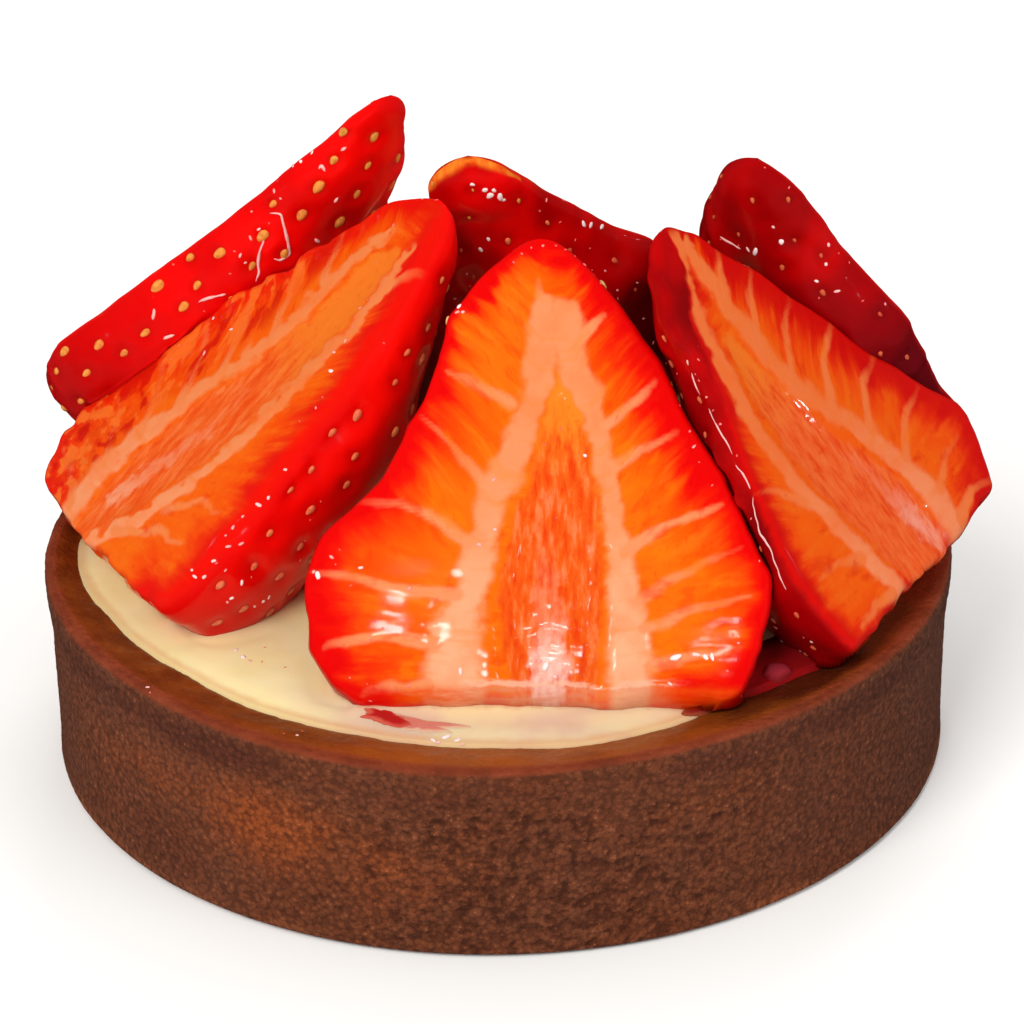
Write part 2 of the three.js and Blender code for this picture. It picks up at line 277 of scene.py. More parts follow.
# ---------------------------------------------------------------------------------------------
# material helpers
# ---------------------------------------------------------------------------------------------
class Mat:
    def __init__(self, name):
        self.m = bpy.data.materials.new(name)
        self.m.use_nodes = True
        self.nt = self.m.node_tree
        self.nt.nodes.clear()
        self.out = self.nt.nodes.new("ShaderNodeOutputMaterial")
        self.bsdf = self.nt.nodes.new("ShaderNodeBsdfPrincipled")
        self.nt.links.new(self.bsdf.outputs["BSDF"], self.out.inputs["Surface"])

    def put(self, node, key, val):
        if val is None:
            return
        sock = node.inputs[key]
        if isinstance(val, bpy.types.NodeSocket):
            self.nt.links.new(val, sock)
        else:
            sock.default_value = val

    def set(self, **kw):
        names = dict(color="Base Color", rough="Roughness", ior="IOR", normal="Normal", coat="Coat Weight", coat_rough="Coat Roughness", coat_ior="Coat IOR", coat_tint="Coat Tint", sss="Subsurface Weight", sss_radius="Subsurface Radius", sss_scale="Subsurface Scale", spec="Specular IOR Level", trans="Transmission Weight", alpha="Alpha", sheen="Sheen Weight", sheen_rough="Sheen Roughness", sheen_tint="Sheen Tint", coat_normal="Coat Normal")
        for k, v in kw.items():
            self.put(self.bsdf, names[k], v)

    def attr(self, name, vector=False):
        n = self.nt.nodes.new("ShaderNodeAttribute")
        n.attribute_type = "GEOMETRY"
        n.attribute_name = name
        if not vector:
            return n.outputs["Fac"]
        s = self.nt.nodes.new("ShaderNodeSeparateXYZ")
        self.nt.links.new(n.outputs["Vector"], s.inputs[0])
        return n.outputs["Vector"], s.outputs[0], s.outputs[1], s.outputs[2]

    def place(self):
        n = self.nt.nodes.new("ShaderNodeTexCoord")
        return self.scale(n.outputs["Object"], (1000, 1000, 1000))

    def scale(self, v, s):
        n = self.nt.nodes.new("ShaderNodeVectorMath")
        n.operation = "MULTIPLY"
        self.put(n, 0, v)
        self.put(n, 1, s)
        return n.outputs[0]

    def add(self, v, s):
        n = self.nt.nodes.new("ShaderNodeVectorMath")
        n.operation = "ADD"
        self.put(n, 0, v)
        self.put(n, 1, s)
        return n.outputs[0]

    def noise(self, v, scale=1.0, detail=3.0, rough=0.5, distort=0.0, color=False):
        n = self.nt.nodes.new("ShaderNodeTexNoise")
        self.put(n, "Vector", v)
        self.put(n, "Scale", scale)
        self.put(n, "Detail", detail)
        self.put(n, "Roughness", rough)
        self.put(n, "Distortion", distort)
        return n.outputs["Color" if color else "Fac"]

    def voronoi(self, v, scale=1.0, feature="F1", out="Distance", rand=1.0):
        n = self.nt.nodes.new("ShaderNodeTexVoronoi")
        n.feature = feature
        self.put(n, "Vector", v)
        self.put(n, "Scale", scale)
        self.put(n, "Randomness", rand)
        return n.outputs[out]

    def math(self, op, a, b=None, c=None, clamp=False):
        n = self.nt.nodes.new("ShaderNodeMath")
        n.operation = op
        n.use_clamp = clamp
        self.put(n, 0, a)
        self.put(n, 1, b)
        self.put(n, 2, c)
        return n.outputs[0]

    def range(self, v, a, b, c=0.0, d=1.0, kind="SMOOTHSTEP"):
        n = self.nt.nodes.new("ShaderNodeMapRange")
        n.interpolation_type = kind
        self.put(n, "Value", v)
        for key, val in (("From Min", a), ("From Max", b), ("To Min", c), ("To Max", d)):
            n.inputs[key].default_value = val
        return n.outputs["Result"]

    def mix(self, f, a, b, blend="MIX"):
        n = self.nt.nodes.new("ShaderNodeMix")
        n.data_type = "RGBA"
        n.blend_type = blend
        n.clamp_factor = True
        self.put(n, 0, f)
        self.put(n, 6, a)
        self.put(n, 7, b)
        return n.outputs[2]

    def ramp(self, f, stops, kind="LINEAR"):
        n = self.nt.nodes.new("ShaderNodeValToRGB")
        cr = n.color_ramp
        cr.interpolation = kind
        cr.elements[0].position, cr.elements[0].color = stops[0]
        cr.elements[1].position, cr.elements[1].color = stops[-1]
        for pos, col in stops[1:-1]:
            e = cr.elements.new(pos)
            e.color = col
        self.put(n, "Fac", f)
        return n.outputs["Color"]

    def bump(self, h, strength=1.0, dist=0.0001, normal=None):
        n = self.nt.nodes.new("ShaderNodeBump")
        self.put(n, "Strength", strength)
        self.put(n, "Distance", dist)
        self.put(n, "Height", h)
        self.put(n, "Normal", normal)
        return n.outputs["Normal"]


def finish_piece(ob, mat, slot, *nodes):
    ob.data.materials.append(mat)
    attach(ob, "root")
    if nodes:
        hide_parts(*nodes)
    return ob


# ---------------------------------------------------------------------------------------------
# waves of the rim, the wall and the cream, as in the CAD part
# ---------------------------------------------------------------------------------------------
def rim_height(a):
    return RIM_WAVE * (0.6 * np.sin(2 * a + 0.4) + 0.4 * np.sin(5 * a + 1.7)) - FRONT_DIP * bell(wrap(a + math.pi / 2), 0.42)


RIM_INNER = ((-184, 37.7), (-176, 37.3), (-169, 36.6), (-161, 35.6), (-150, 35.0), (-139, 34.4), (-126, 34.4), (-112, 33.8), (-100, 33.6), (-90, 33.7), (-78, 34.5), (-66, 34.3), (-54, 33.5), (-44, 34.2), (-36, 35.2), (-15, 35.8), (10, 35.4), (40, 36.1), (75, 35.5), (110, 36.2), (145, 35.7), (165, 36.6), (176, 37.7), (184, 37.3))


def rim_inner(a):
    """Radius at which the rim's inner slope goes under the cream."""
    deg, r = np.array(RIM_INNER).T
    return np.interp(np.degrees(a), deg, r)


def wall_out(a):
    return WALL_WAVE * (0.55 * np.sin(3 * a + 0.9) + 0.3 * np.sin(7 * a + 2.1) + 0.15 * np.sin(11 * a + 0.3))


def cream_wave(a, r):
    return 0.16 * np.sin(2 * a + 1.1) * (r / SHELL_R) + 0.1 * np.sin(5 * a + 0.2) * (r / SHELL_R) ** 2


# ---------------------------------------------------------------------------------------------
# strawberry halves: frame, outline and how far a point is from one
# ---------------------------------------------------------------------------------------------
def flank(s, b, waist):
    m = b["shoulder"]
    lo = b["stalk"] + (1 - b["stalk"]) * np.sqrt(np.clip(1 - ((m - s) / m) ** 2, 0, 1))
    t = np.clip((s - m) / (1 - m), 0, 1)
    hi = np.clip(1 - t ** b["taper"], 0, 1) ** b["blunt"] * (1 - waist * np.sin(math.pi * t) ** 2)
    return np.where(s < m, lo, hi)


def half_widths(name, s):
    b = BERRIES[name]
    left, right = OUTLINE[name]
    fade = smooth(s, 1.0, 0.93)
    wl = b["left"] * flank(s, b, b["waistL"]) + fade * sum(h * bell(s - c, w) for c, h, w in left)
    wr = b["right"] * flank(s, b, b["waistR"]) + fade * sum(h * bell(s - c, w) for c, h, w in right)
    # a round tip
    r = ROUND[name]["tip"]
    x = (s - 1) * b["length"] + r
    cap = np.where(x > -r, np.sqrt(np.clip(r * r - x * x, 0, None)), 0.0)
    wl, wr = (np.maximum(w, cap) + 0.25 * np.exp(-np.abs(w - cap) / 0.7) * smooth(cap, 0.0, 1.0) for w in (wl, wr))
    return np.maximum(wl, 0), np.maximum(wr, 0)


def drift_of(name, s):
    """How far the middle of the section has moved sideways at s: a steady bend, and the lean of the tip."""
    b = BERRIES[name]
    return b["bend"] * b["length"] * s * s + ROUND[name].get("nudge", 0.0) * smooth(s, 0.7, 1.0)


def axes_of(name):
    b = BERRIES[name]
    a, e, r = (math.radians(b[k]) for k in ("facing", "lean", "turn"))
    out = np.array([math.cos(a), math.sin(a), 0.0])
    axis = -out * math.cos(e) + np.array([0, 0, math.sin(e)])
    n0 = out * math.sin(e) + np.array([0, 0, math.cos(e)])
    face = n0 * math.cos(r) + np.cross(axis, n0) * math.sin(r)
    return np.array(b["at"], float), axis, np.cross(axis, face), face


def local(name, Q):
    """Places of points Q in a half's own terms: share of length, sideways from the axis, above the cut, half-width there, depth there, and the share of the section's radius."""
    b = BERRIES[name]
    o, ax, v, n = axes_of(name)
    d = Q - o
    s = d @ ax / b["length"]
    sc = np.clip(s, 0, 1)
    wl, wr = half_widths(name, sc)
    vv = d @ v - drift_of(name, sc)
    nn = d @ n
    W = np.where(vv > 0, wr, wl) + 0.02
    H = b["depth"] * 0.5 * (wl + wr) + 0.02
    return s, vv, nn, W, H, np.sqrt((vv / W) ** 2 + (nn / H) ** 2)


def clearance(name, Q):
    """Rough signed distance from Q to a half, mm: below 0 inside."""
    s, vv, nn, W, H, rho = local(name, Q)
    L = BERRIES[name]["length"]
    g = np.sqrt((vv / W ** 2) ** 2 + (nn / H ** 2) ** 2) / np.maximum(rho, 1e-6)
    return np.maximum.reduce([(rho - 1) / np.maximum(g, 1e-6), nn, -s * L, (s - 1) * L])


def keep_clear(P, others, gap):
    """Moves points that lie inside the other halves out to their surface, plus a gap."""
    for name in others:
        b = BERRIES[name]
        o, ax, v, n = axes_of(name)
        s, vv, nn, W, H, rho = local(name, P)
        L = b["length"]
        mean = 0.5 * (W + H)
        skin = (1 - rho) * np.minimum(W, H) + gap
        face = gap - nn
        inside = (skin > 0) & (face > 0) & (s * L > -gap) & (s < 1)
        k = (1 + gap / mean) / np.maximum(rho, 0.05)
        sc = np.clip(s, 0, 1)
        base = o + (s * L)[..., None] * ax + drift_of(name, sc)[..., None] * v
        by_skin = base + (vv * k)[..., None] * v + (nn * k)[..., None] * n
        by_face = P + face[..., None] * n
        out = np.where((skin < face)[..., None], by_skin, by_face)
        P = np.where(inside[..., None], out, P)
    return P


# ---------------------------------------------------------------------------------------------
# what the cut faces show, in mm along the axis from the stalk end (u) and across it (v)
# bands: the pale rings of fibres, (u, centre v, half-width); pith: between them; streaks and strands: pale lines
# ---------------------------------------------------------------------------------------------
FLESH = {
    "front": dict(
        bands=(((-2, -8.0, 3.3), (3.5, -7.9, 3.0), (6.9, -7.6, 2.45), (10.2, -6.4, 1.6), (13.6, -5.7, 1.4), (16.1, -4.8, 1.45), (18.7, -4.1, 1.65), (22, -2.5, 1.3), (24.6, -1.6, 1.3), (27.2, -0.9, 1.55), (30.6, -0.6, 1.6), (33.8, -0.5, 1.3)),
               ((-2, 6.6, 2.3), (3.5, 6.4, 2.1), (6.8, 6.5, 1.7), (10.1, 6.1, 1.25), (13.5, 5.6, 1.05), (16, 5.25, 0.85), (18.6, 4.85, 0.8), (22, 4.2, 0.9), (24.5, 3.4, 1.1), (27.1, 2.4, 1.5), (30.5, 1.5, 1.6), (33.8, 1.4, 1.3))),
        pith=((-2, -3.6, 3.8), (10, -4.5, 4.8), (18.6, -2.2, 4.1), (24.6, -0.4, 2.7), (27.6, 0.3, 1.5), (29.2, 0.6, 1.1)),
        streak=(((18.5, 0.0), (14, -0.4), (10, -0.2), (6, -0.1), (1.5, -0.1)), 0.9, 2.3),
        strands=(((18.4, -5.6), (21.4, -7.9), (24.3, -10.6)), ((13.4, -6.6), (15.7, -9.9), (16.8, -12.8), (16.9, -16.8)), ((9.0, -7.6), (9.3, -11.1), (9.9, -14.4), (10.7, -16.9), (10.9, -19.6)), ((5.0, -9.4), (5.5, -12.7), (5.3, -15.6), (4.6, -18.6)), ((25.1, -3.2), (26.8, -6), (28.2, -8.4)), ((1.4, -10), (1.7, -12.7), (1.0, -15.4)),
                 ((23.2, 4.6), (25.3, 7.1), (26.8, 8.8)), ((12.6, 6.3), (14.3, 9.1), (15.5, 11.6), (16.3, 14.2)), ((8.4, 7.0), (10.1, 10.1), (11.6, 12.8), (12.8, 15.8)), ((6.0, 7.8), (7.2, 10.7), (8, 13.6), (8.5, 16.4)), ((2.8, 8.2), (3.8, 11.5), (4.3, 14.6)), ((30.6, 2.6), (32.0, 3.8), (32.6, 4.6)), ((33.4, -0.6), (35.6, -0.9)), ((19.8, 5.4), (21.6, 8.4), (22.6, 10.6))),
        rim=(1.0, 1.0), foot=6.0, ragged=0.0, square=0.5,
        rim_waves=((32, -1, 0.9, 4.5), (37.4, 1, 1.6, 3.0), (37.4, -1, 1.2, 3.0), (26, 1, -0.28, 5.0), (22, -1, -0.2, 3.0), (8, -1, -0.22, 5.0), (4, 1, 0.3, 4.0), (1, -1, 0.5, 2.0))),
    "front_left": dict(
        bands=(((-2, -8.2, 2.0), (2.4, -9.2, 1.9), (4.6, -9.5, 1.7), (8.1, -8.6, 1.5), (11.5, -7.5, 1.4), (15.9, -5.7, 1.4), (19.9, -3.4, 1.3), (24.2, -1.7, 1.2), (29.4, -1.2, 1.1), (34, -0.1, 1.0), (38.2, 1.7, 0.7)),
               ((-2, -4.4, 1.4), (0.7, -2.7, 1.3), (4.5, 0.2, 1.1), (8.5, 2.5, 1.0), (12.8, 4.2, 0.85), (16.5, 4.8, 0.8), (20.1, 5.3, 0.75), (24.6, 5.6, 0.8), (28.5, 6.4, 0.75), (33.4, 6.1, 0.7), (37.9, 5, 0.5))),
        pith=((-2, -6.4, -5.6), (4.5, -7.6, -1.0), (12.8, -5.6, 3.2), (20, -1.9, 4.5), (28.5, 0.2, 5.6), (34, 1.2, 5.4), (37, 2.6, 4.6)),
        streak=(((26, 1.6), (20, 0.6), (14, -0.6), (9, -2.6), (4, -5.2)), 0.5, 1.2),
        strands=(((5, -9.8), (8.4, -12.6), (10.6, -16)), ((9.5, -8.6), (13.6, -11.4), (16.4, -15.4)), ((14, -7), (18.5, -9.6), (21.6, -13.4)), ((18.4, -5), (23.4, -7.6), (26.6, -11.2)), ((24, -2.6), (28.6, -5.4), (31.6, -8.6)), ((30, -1.8), (33.8, -4), (36.0, -6)), ((1.2, -9.6), (2.4, -13), (3.2, -17)), ((2, -1.5), (4.6, 3.6), (5.2, 8.0)), ((34, 7), (36, 8.2), (37, 9.2)), ((6.5, 3), (9, 6), (9.6, 9.6))),
        rim=(0.55, 0.8), foot=9.0, ragged=1.0, end=3.0),
    "front_right": dict(
        bands=(((-2, -1.6, 1.5), (1.8, -2.6, 1.2), (4.3, -3.2, 0.95), (8, -4.2, 0.9), (11.7, -5.2, 0.85), (16, -5.5, 0.85), (20.2, -5.5, 0.8), (24.7, -4.5, 0.75), (28.3, -3.7, 0.75), (31.6, -2.3, 0.7), (34.6, -0.8, 0.6), (36.8, 0.1, 0.5)),
               ((-2, 8.6, 2.4), (1.2, 8.8, 2.0), (3, 9.0, 1.6), (6.2, 8.3, 1.4), (9.4, 7.3, 1.3), (12.6, 5.6, 1.35), (16.7, 3.2, 1.3), (20.1, 1.7, 1.25), (24.7, 0.9, 1.2), (28.7, 0.4, 1.1), (32.6, 0.6, 0.9), (34.6, 0.4, 0.8), (36.8, 0.5, 0.6))),
        pith=((-2, 0.4, 6.0), (4, -2.0, 7.2), (9, -3.2, 5.6), (16, -4.4, 1.8), (24, -3.4, -0.4), (28, -2.8, -1.2)),
        streak=(((17, 0.4), (13.5, 1.6), (9, 3.4), (5, 4.8), (1.5, 5.6)), 0.7, 1.7),
        strands=(((3.5, 10), (5.2, 13), (5.6, 16.4)), ((8, 8.6), (10.6, 11.8), (11.4, 15.6)), ((12, 6.8), (15.2, 9.6), (16.4, 13.6)), ((16, 4.4), (19.6, 7.2), (21.2, 11.2)), ((20.5, 2.6), (23.6, 5), (25.4, 8.4)), ((25, 1.6), (27.8, 3.6), (29.4, 6.2)), ((29, 1), (31.2, 2.4), (32.6, 4)), ((1, 10), (1.6, 13.6), (1.2, 16.6)), ((5, -4), (6.2, -7), (6.4, -10)), ((12, -6), (14.4, -8), (15.6, -10.4)), ((0.8, -3.4), (1.4, -6), (1.2, -9))),
        rim=(0.45, 0.95), foot=2.4, ragged=0.0, over=1.5, rim_waves=((36, -1, 1.6, 4.0), (35, 1, 1.2, 3.5), (20, 1, -0.1, 5.0))),
}


def flesh_for(name):
    """The front halves have their own pattern; the halves that face away carry the same anatomy at their own width."""
    if name in FLESH:
        return FLESH[name]
    b = BERRIES[name]
    ku, kl, kr = b["length"] / 39.3, b["left"] / 20.0, b["right"] / 18.6
    side = lambda v: v * (kl if v < 0 else kr)
    src = FLESH["front"]
    flip = -1 if name == "back_left" else 1
    bands = tuple(tuple((u * ku, side(c * flip), w * (kl + kr) / 2 * 0.9) for u, c, w in band) for band in src["bands"])
    pith = tuple((u * ku,) + tuple(sorted((side(lo * flip), side(hi * flip)))) for u, lo, hi in src["pith"])
    line, w0, w1 = src["streak"]
    streak = (tuple((u * ku, side(v * flip)) for u, v in line), w0 * 0.9, w1 * 0.85)
    strands = tuple(tuple((u * ku * (1 + 0.04 * ((k * 7) % 5 - 2) / 2), side(v * flip)) for u, v in line2) for k, line2 in enumerate(src["strands"]))
    return dict(bands=bands, pith=pith, streak=streak, strands=strands, rim=(0.8, 0.8), foot=2.0, ragged=0.0)


def face_masks(name, u, v, rim_mm, across, seed):
    """Masks over the cut face at (u, v) mm, with rim_mm the distance to its outline."""
    f = flesh_for(name)
    L = BERRIES[name]["length"]
    # ragged edges: jitter the place that is looked up, along and across the fibres
    ju = fbm(stack(u * 0.5, v * 0.5, 3.1), 3, seed + 1)
    jv = fbm(stack(u * 0.6, v * 0.6, 9.7), 3, seed + 2)
    fine = fbm(stack(u * 1.9, v * 1.9, 1.7), 2, seed + 3)
    uu, vv = u + 1.0 * ju, v + 0.6 * jv + 0.26 * fine
    uu = uu + 1.2 * f["ragged"] * fbm(stack(u * 0.8, v * 0.8, 6.1), 2, seed + 14)
    vv = vv + 0.9 * f["ragged"] * fbm(stack(u * 0.75, v * 0.75, 8.3), 2, seed + 15)
    band = np.zeros_like(u)
    centre = []
    for rows in f["bands"]:
        ur, cr, wr = np.array(rows, float).T
        c, w = np.interp(uu, ur, cr), np.interp(uu, ur, wr)
        d = np.abs(vv - c)
        m = smooth(d, w + 0.55, w * 0.35)
        m = m * smooth(uu, ur[-1] + 0.8, ur[-1] - f.get("square", 2.2))
        band = np.maximum(band, m)
        centre.append(np.interp(u, ur, cr))
    pu, pl, ph = np.array(f["pith"], float).T
    lo, hi = np.interp(uu, pu, pl), np.interp(uu, pu, ph)
    pith = smooth(vv - lo, -0.3, 0.9) * smooth(hi - vv, -0.3, 0.9) * smooth(uu, pu[-1] + 0.6, pu[-1] - 3.0)
    hollow = smooth(v - np.interp(u, pu, pl), -0.9, 1.8) * smooth(np.interp(u, pu, ph) - v, -0.9, 1.8) * smooth(u, pu[-1] + 0.6, pu[-1] - 5.0)
    # strands run from the bands to the seeds, brightest at the band
    inner = np.minimum(*centre), np.maximum(*centre)
    out = np.where(v < inner[0], inner[0] - v, np.where(v > inner[1], v - inner[1], 0.0))
    k = np.interp(u / L, [0, 0.1, 0.25, 0.36, 0.5, 0.7, 1.0], [-0.02, 0.02, 0.16, 0.45, 0.8, 0.9, 1.0])
    psi = u - k * out * np.interp(out, [0, 12], [1.1, 0.8])
    strand = np.zeros_like(u)
    for i, line in enumerate(f["strands"]):
        d, t = line_distance(np.stack([uu * 0.4 + u * 0.6, vv * 0.4 + v * 0.6], -1), line)
        w = 0.72 - 0.42 * t
        strand = np.maximum(strand, smooth(d, w + 0.25, w * 0.2) * (1.0 - 0.5 * t) * (0.7 + 0.3 * ((i * 5) % 4) / 3))
    line, w0, w1 = f["streak"]
    d, t = line_distance(np.stack([uu, vv + 0.35 * fine], -1), line)
    wid = w0 + (w1 - w0) * t ** 1.6
    pink = smooth(d, wid + 0.6, wid * 0.3) * (0.35 + 0.65 * smooth(t, 0.15, 0.85))
    pink = pink * (0.72 + 0.5 * fbm(stack(u * 1.1, v * 2.4, 4.4), 3, seed + 5))
    # the red rim: ragged, with teeth that follow the strands
    teeth = fbm(stack(psi * 0.40, v * 0.05, 2.0), 3, seed + 6) * 1.5 + fbm(stack(psi * 1.2, v * 0.1, 5.0), 2, seed + 7) * 1.0
    wide = fbm(stack(u * 0.09, v * 0.09, 7.0), 2, seed + 8) * 1.1
    wl, wr = f["rim"]
    k = wl + (wr - wl) * smooth(across, -4.0, 4.0)
    rim = rim_mm / k + (teeth + wide) * smooth(rim_mm, 0.0, 1.2) * np.minimum(1, 0.4 + k * 0.6)
    for at, sgn, amp, wd in f.get("rim_waves", ()):
        rim = rim * (1 + amp * bell(u - at, wd) * smooth(sgn * across, -1.5, 3.0))
    # towards the stalk end the flesh reddens again
    rim = np.minimum(rim, (u + 0.25 * fine) * f["foot"] + f.get("end", 0.8) + 0.5 * teeth)
    lo_face = 0.0 if wl > 0.5 else -0.25
    over = f.get("over", 0.0) * (smooth(u, 16.0, 33.0) + 1.1 * bell(u - 34.0, 5.0)) * smooth(-across, -0.8, 0.8)     # skin that rolls over on to the cut
    face = smooth(rim_mm - over + 0.2 * fine * (wl < 0.5), lo_face, 0.35)
    rim = np.where(over > 0, np.minimum(rim, np.maximum(rim_mm - over, 0) / k + 0.6 * teeth + 0.3), rim)
    rag = f["ragged"] * smooth(-across, 4.0, 9.0) * smooth(rim_mm, 0.0, 0.8) * smooth(out, 1.0, 3.0)
    return dict(rim=np.clip(rim, 0, 9), band=band, pith=pith, strand=strand, pink=np.clip(pink, 0, 1), psi=psi, ragged=rag, face=face, hollow=hollow)


# ---------------------------------------------------------------------------------------------
# one strawberry half as a closed mesh
# ---------------------------------------------------------------------------------------------
SKIN_COLS, FACE_COLS, CAP_ROWS, BODY_ROWS = 124, 116, 13, 150
seed_places = []        # (name, position, outward normal, along direction, place along, random numbers)


def build_half(name, seed):
    b, rd = BERRIES[name], ROUND[name]
    o, ax, v, n = axes_of(name)
    L = b["length"]
    rng = np.random.default_rng(seed)
    t = np.linspace(0, 1, BODY_ROWS + 1)[:-1]
    s = 0.55 * t + 0.45 * (1 - np.cos(math.pi * t)) / 2
    s = np.concatenate([s, [1 - (1 - s[-1]) * 0.30]])
    wl, wr = half_widths(name, s)
    h = b["depth"] * 0.5 * (wl + wr)
    # rounded stalk end: the section is drawn in as the end comes near
    Rs = rd["stalk"]
    tuck = Rs * (1 - np.sqrt(np.clip(1 - np.clip(1 - s * L / Rs, 0, 1) ** 2, 0, 1)))
    # small unevenness of the cut outline
    away = smooth(s, 0.0, 0.04) * smooth(s, 1.0, 0.95)
    nl = (0.20 * noise(stack(s * L / 2.1, 1.5, 0.5), seed + 11) + 0.12 * noise(stack(s * L / 0.9, 1.5, 0.5), seed + 12)) * away
    nr = (0.20 * noise(stack(s * L / 2.1, 7.5, 0.5), seed + 13) + 0.12 * noise(stack(s * L / 0.9, 7.5, 0.5), seed + 14)) * away
    if "teeth" in rd:
        amp, pitch = rd["teeth"]
        saw = noise(stack(s * L / pitch, 3.5, 2.5), seed + 15) + 0.6 * noise(stack(s * L / pitch * 2.3, 5.5, 2.5), seed + 16)
        nl = nl + amp * np.clip(saw * 1.6, -1, 0.55) * smooth(s, 0.02, 0.10) * smooth(s, 0.94, 0.80)
    ph = np.linspace(0, math.pi, SKIN_COLS + 1)
    c, sn = np.cos(ph), np.sin(ph)
    fq = np.linspace(0, 1, FACE_COLS + 1)[1:-1]
    fq = 0.6 * fq + 0.4 * (1 - np.cos(math.pi * fq)) / 2
    wlt, wrt = np.maximum(wl - tuck, 0.02), np.maximum(wr - tuck, 0.02)
    eL, eR = (np.minimum(np.minimum(e, 0.42 * h), 0.42 * (wl + wr) / 2) for e in rd["edge"])
    side = smooth(c, -0.5, 0.5)
    E = eL[:, None] * (1 - side) + eR[:, None] * side
    near_edge = np.abs(c) ** 6
    across = np.where(c > 0, np.outer(wrt, c), np.outer(wlt, c)) + np.where(c > 0, np.outer(nr, near_edge), -np.outer(nl, near_edge))
    down = tuck[:, None] + E + (np.maximum(h - tuck * 2, 0.02)[:, None] - E) * sn[None]
    fL, fR = wlt + nl, wrt + nr
    facross = -fL[:, None] + np.outer(fL + fR, fq)
    drift = drift_of(name, s)
    edge = np.concatenate([np.stack([s * L, -fL + drift], -1), [[L, float(drift_of(name, 1.0))]], np.stack([s * L, fR + drift], -1)[::-1]])
    fu = np.repeat((s * L)[:, None], len(fq), 1)
    fv = facross + drift[:, None]
    rim_mm, _ = line_distance(np.stack([fu, fv], -1), edge)
    mix = smooth(facross, -3.0, 3.0)
    EF = eL[:, None] * (1 - mix) + eR[:, None] * mix
    k = np.clip(1 - rim_mm / np.maximum(EF, 1e-3), 0, 1)
    fdown = EF * (1 - np.sqrt(np.clip(1 - k * k, 0, 1))) + tuck[:, None]
    across = np.concatenate([across, facross], 1)
    down = np.concatenate([down, fdown], 1)
    C = across.shape[1]
    face_cols = np.arange(SKIN_COLS + 1, C)
    skin_cols = np.arange(0, SKIN_COLS + 1)
    U = np.repeat((s * L)[:, None], C, 1)
    V = across + drift[:, None]
    # the stalk end: rings from its middle out, bulging a little past the end, with a shallow hollow in the middle
    f = (np.arange(1, CAP_ROWS + 1) / (CAP_ROWS + 0.6)) ** 0.8
    mid_down = tuck[0] + h[0] * 0.42
    capV = f[:, None] * across[0][None]
    capD = mid_down + f[:, None] * (down[0][None] - mid_down)
    cap_u = -rd["dome"] * (1 - f ** 2.4) + 0.9 * np.exp(-(f / 0.35) ** 2)
    capU = np.repeat(cap_u[:, None], C, 1)
    U, V, D = np.concatenate([capU, U]), np.concatenate([capV, V]), np.concatenate([capD, down])
    R = U.shape[0]
    body = np.arange(CAP_ROWS, R)
    P = o + U[..., None] * ax + V[..., None] * v - D[..., None] * n
    tip = o + L * ax + float(drift_of(name, 1.0)) * v - down[-1].min() * 0.5 * n
    pole0 = o + (0.9 - rd["dome"]) * ax - mid_down * n
    sag = rd.get("sag", 0.25) * (1 + 0.9 * noise(stack(V * 0.22, D * 0.22, 3.0), seed + 31) + 0.5 * noise(stack(V * 0.7, D * 0.7, 3.0), seed + 32))
    P = P - (sag * smooth(U, 3.5, 0.0) * smooth(np.hypot(V, D - mid_down), 1.0, 4.0))[..., None] * ax
    P = P - (rd.get("tilt", 0.0) * smooth(U, 5.0, 0.0) * smooth(V, 0.0, 16.0))[..., None] * ax
    N = ring_normals(P, pole0, tip)
    mid = o + 0.5 * L * ax - 0.4 * h.max() * n
    if np.mean(np.einsum("ijk,ijk->ij", N, P - mid)) < 0:
        N = -N
    m = face_masks(name, fu, fv, rim_mm, facross, seed * 13)
    # ---- relief of the cut face: wet and almost smooth, rough only in the pith
    fade = smooth(rim_mm, 0.15, 1.3) * smooth(fu, 0.4, 2.4)
    fibre = fbm(stack(m["psi"] * 0.9, fv * 0.16, 1.0), 3, seed + 41)
    grain = fbm(stack(fu * 1.3, fv * 1.3, 2.0), 3, seed + 42)
    swell = fbm(stack(fu * 0.17, fv * 0.17, 3.0), 2, seed + 43)
    ragged = m["ragged"]
    wet = fbm(stack(fu * 0.22, fv * 0.22, 5.0), 2, seed + 44)
    relief = 0.02 * m["band"] - 0.14 * m["hollow"] + 0.006 * m["strand"]
    relief = relief + grain * (0.0015 + 0.016 * m["pith"] * (0.35 + m["pink"]) + 0.11 * ragged) + fibre * (0.004 + 0.010 * m["pith"] + 0.14 * ragged) + 0.022 * swell + 0.018 * wet
    disp = np.zeros((R, C))
    disp[np.ix_(body, face_cols)] = relief * fade
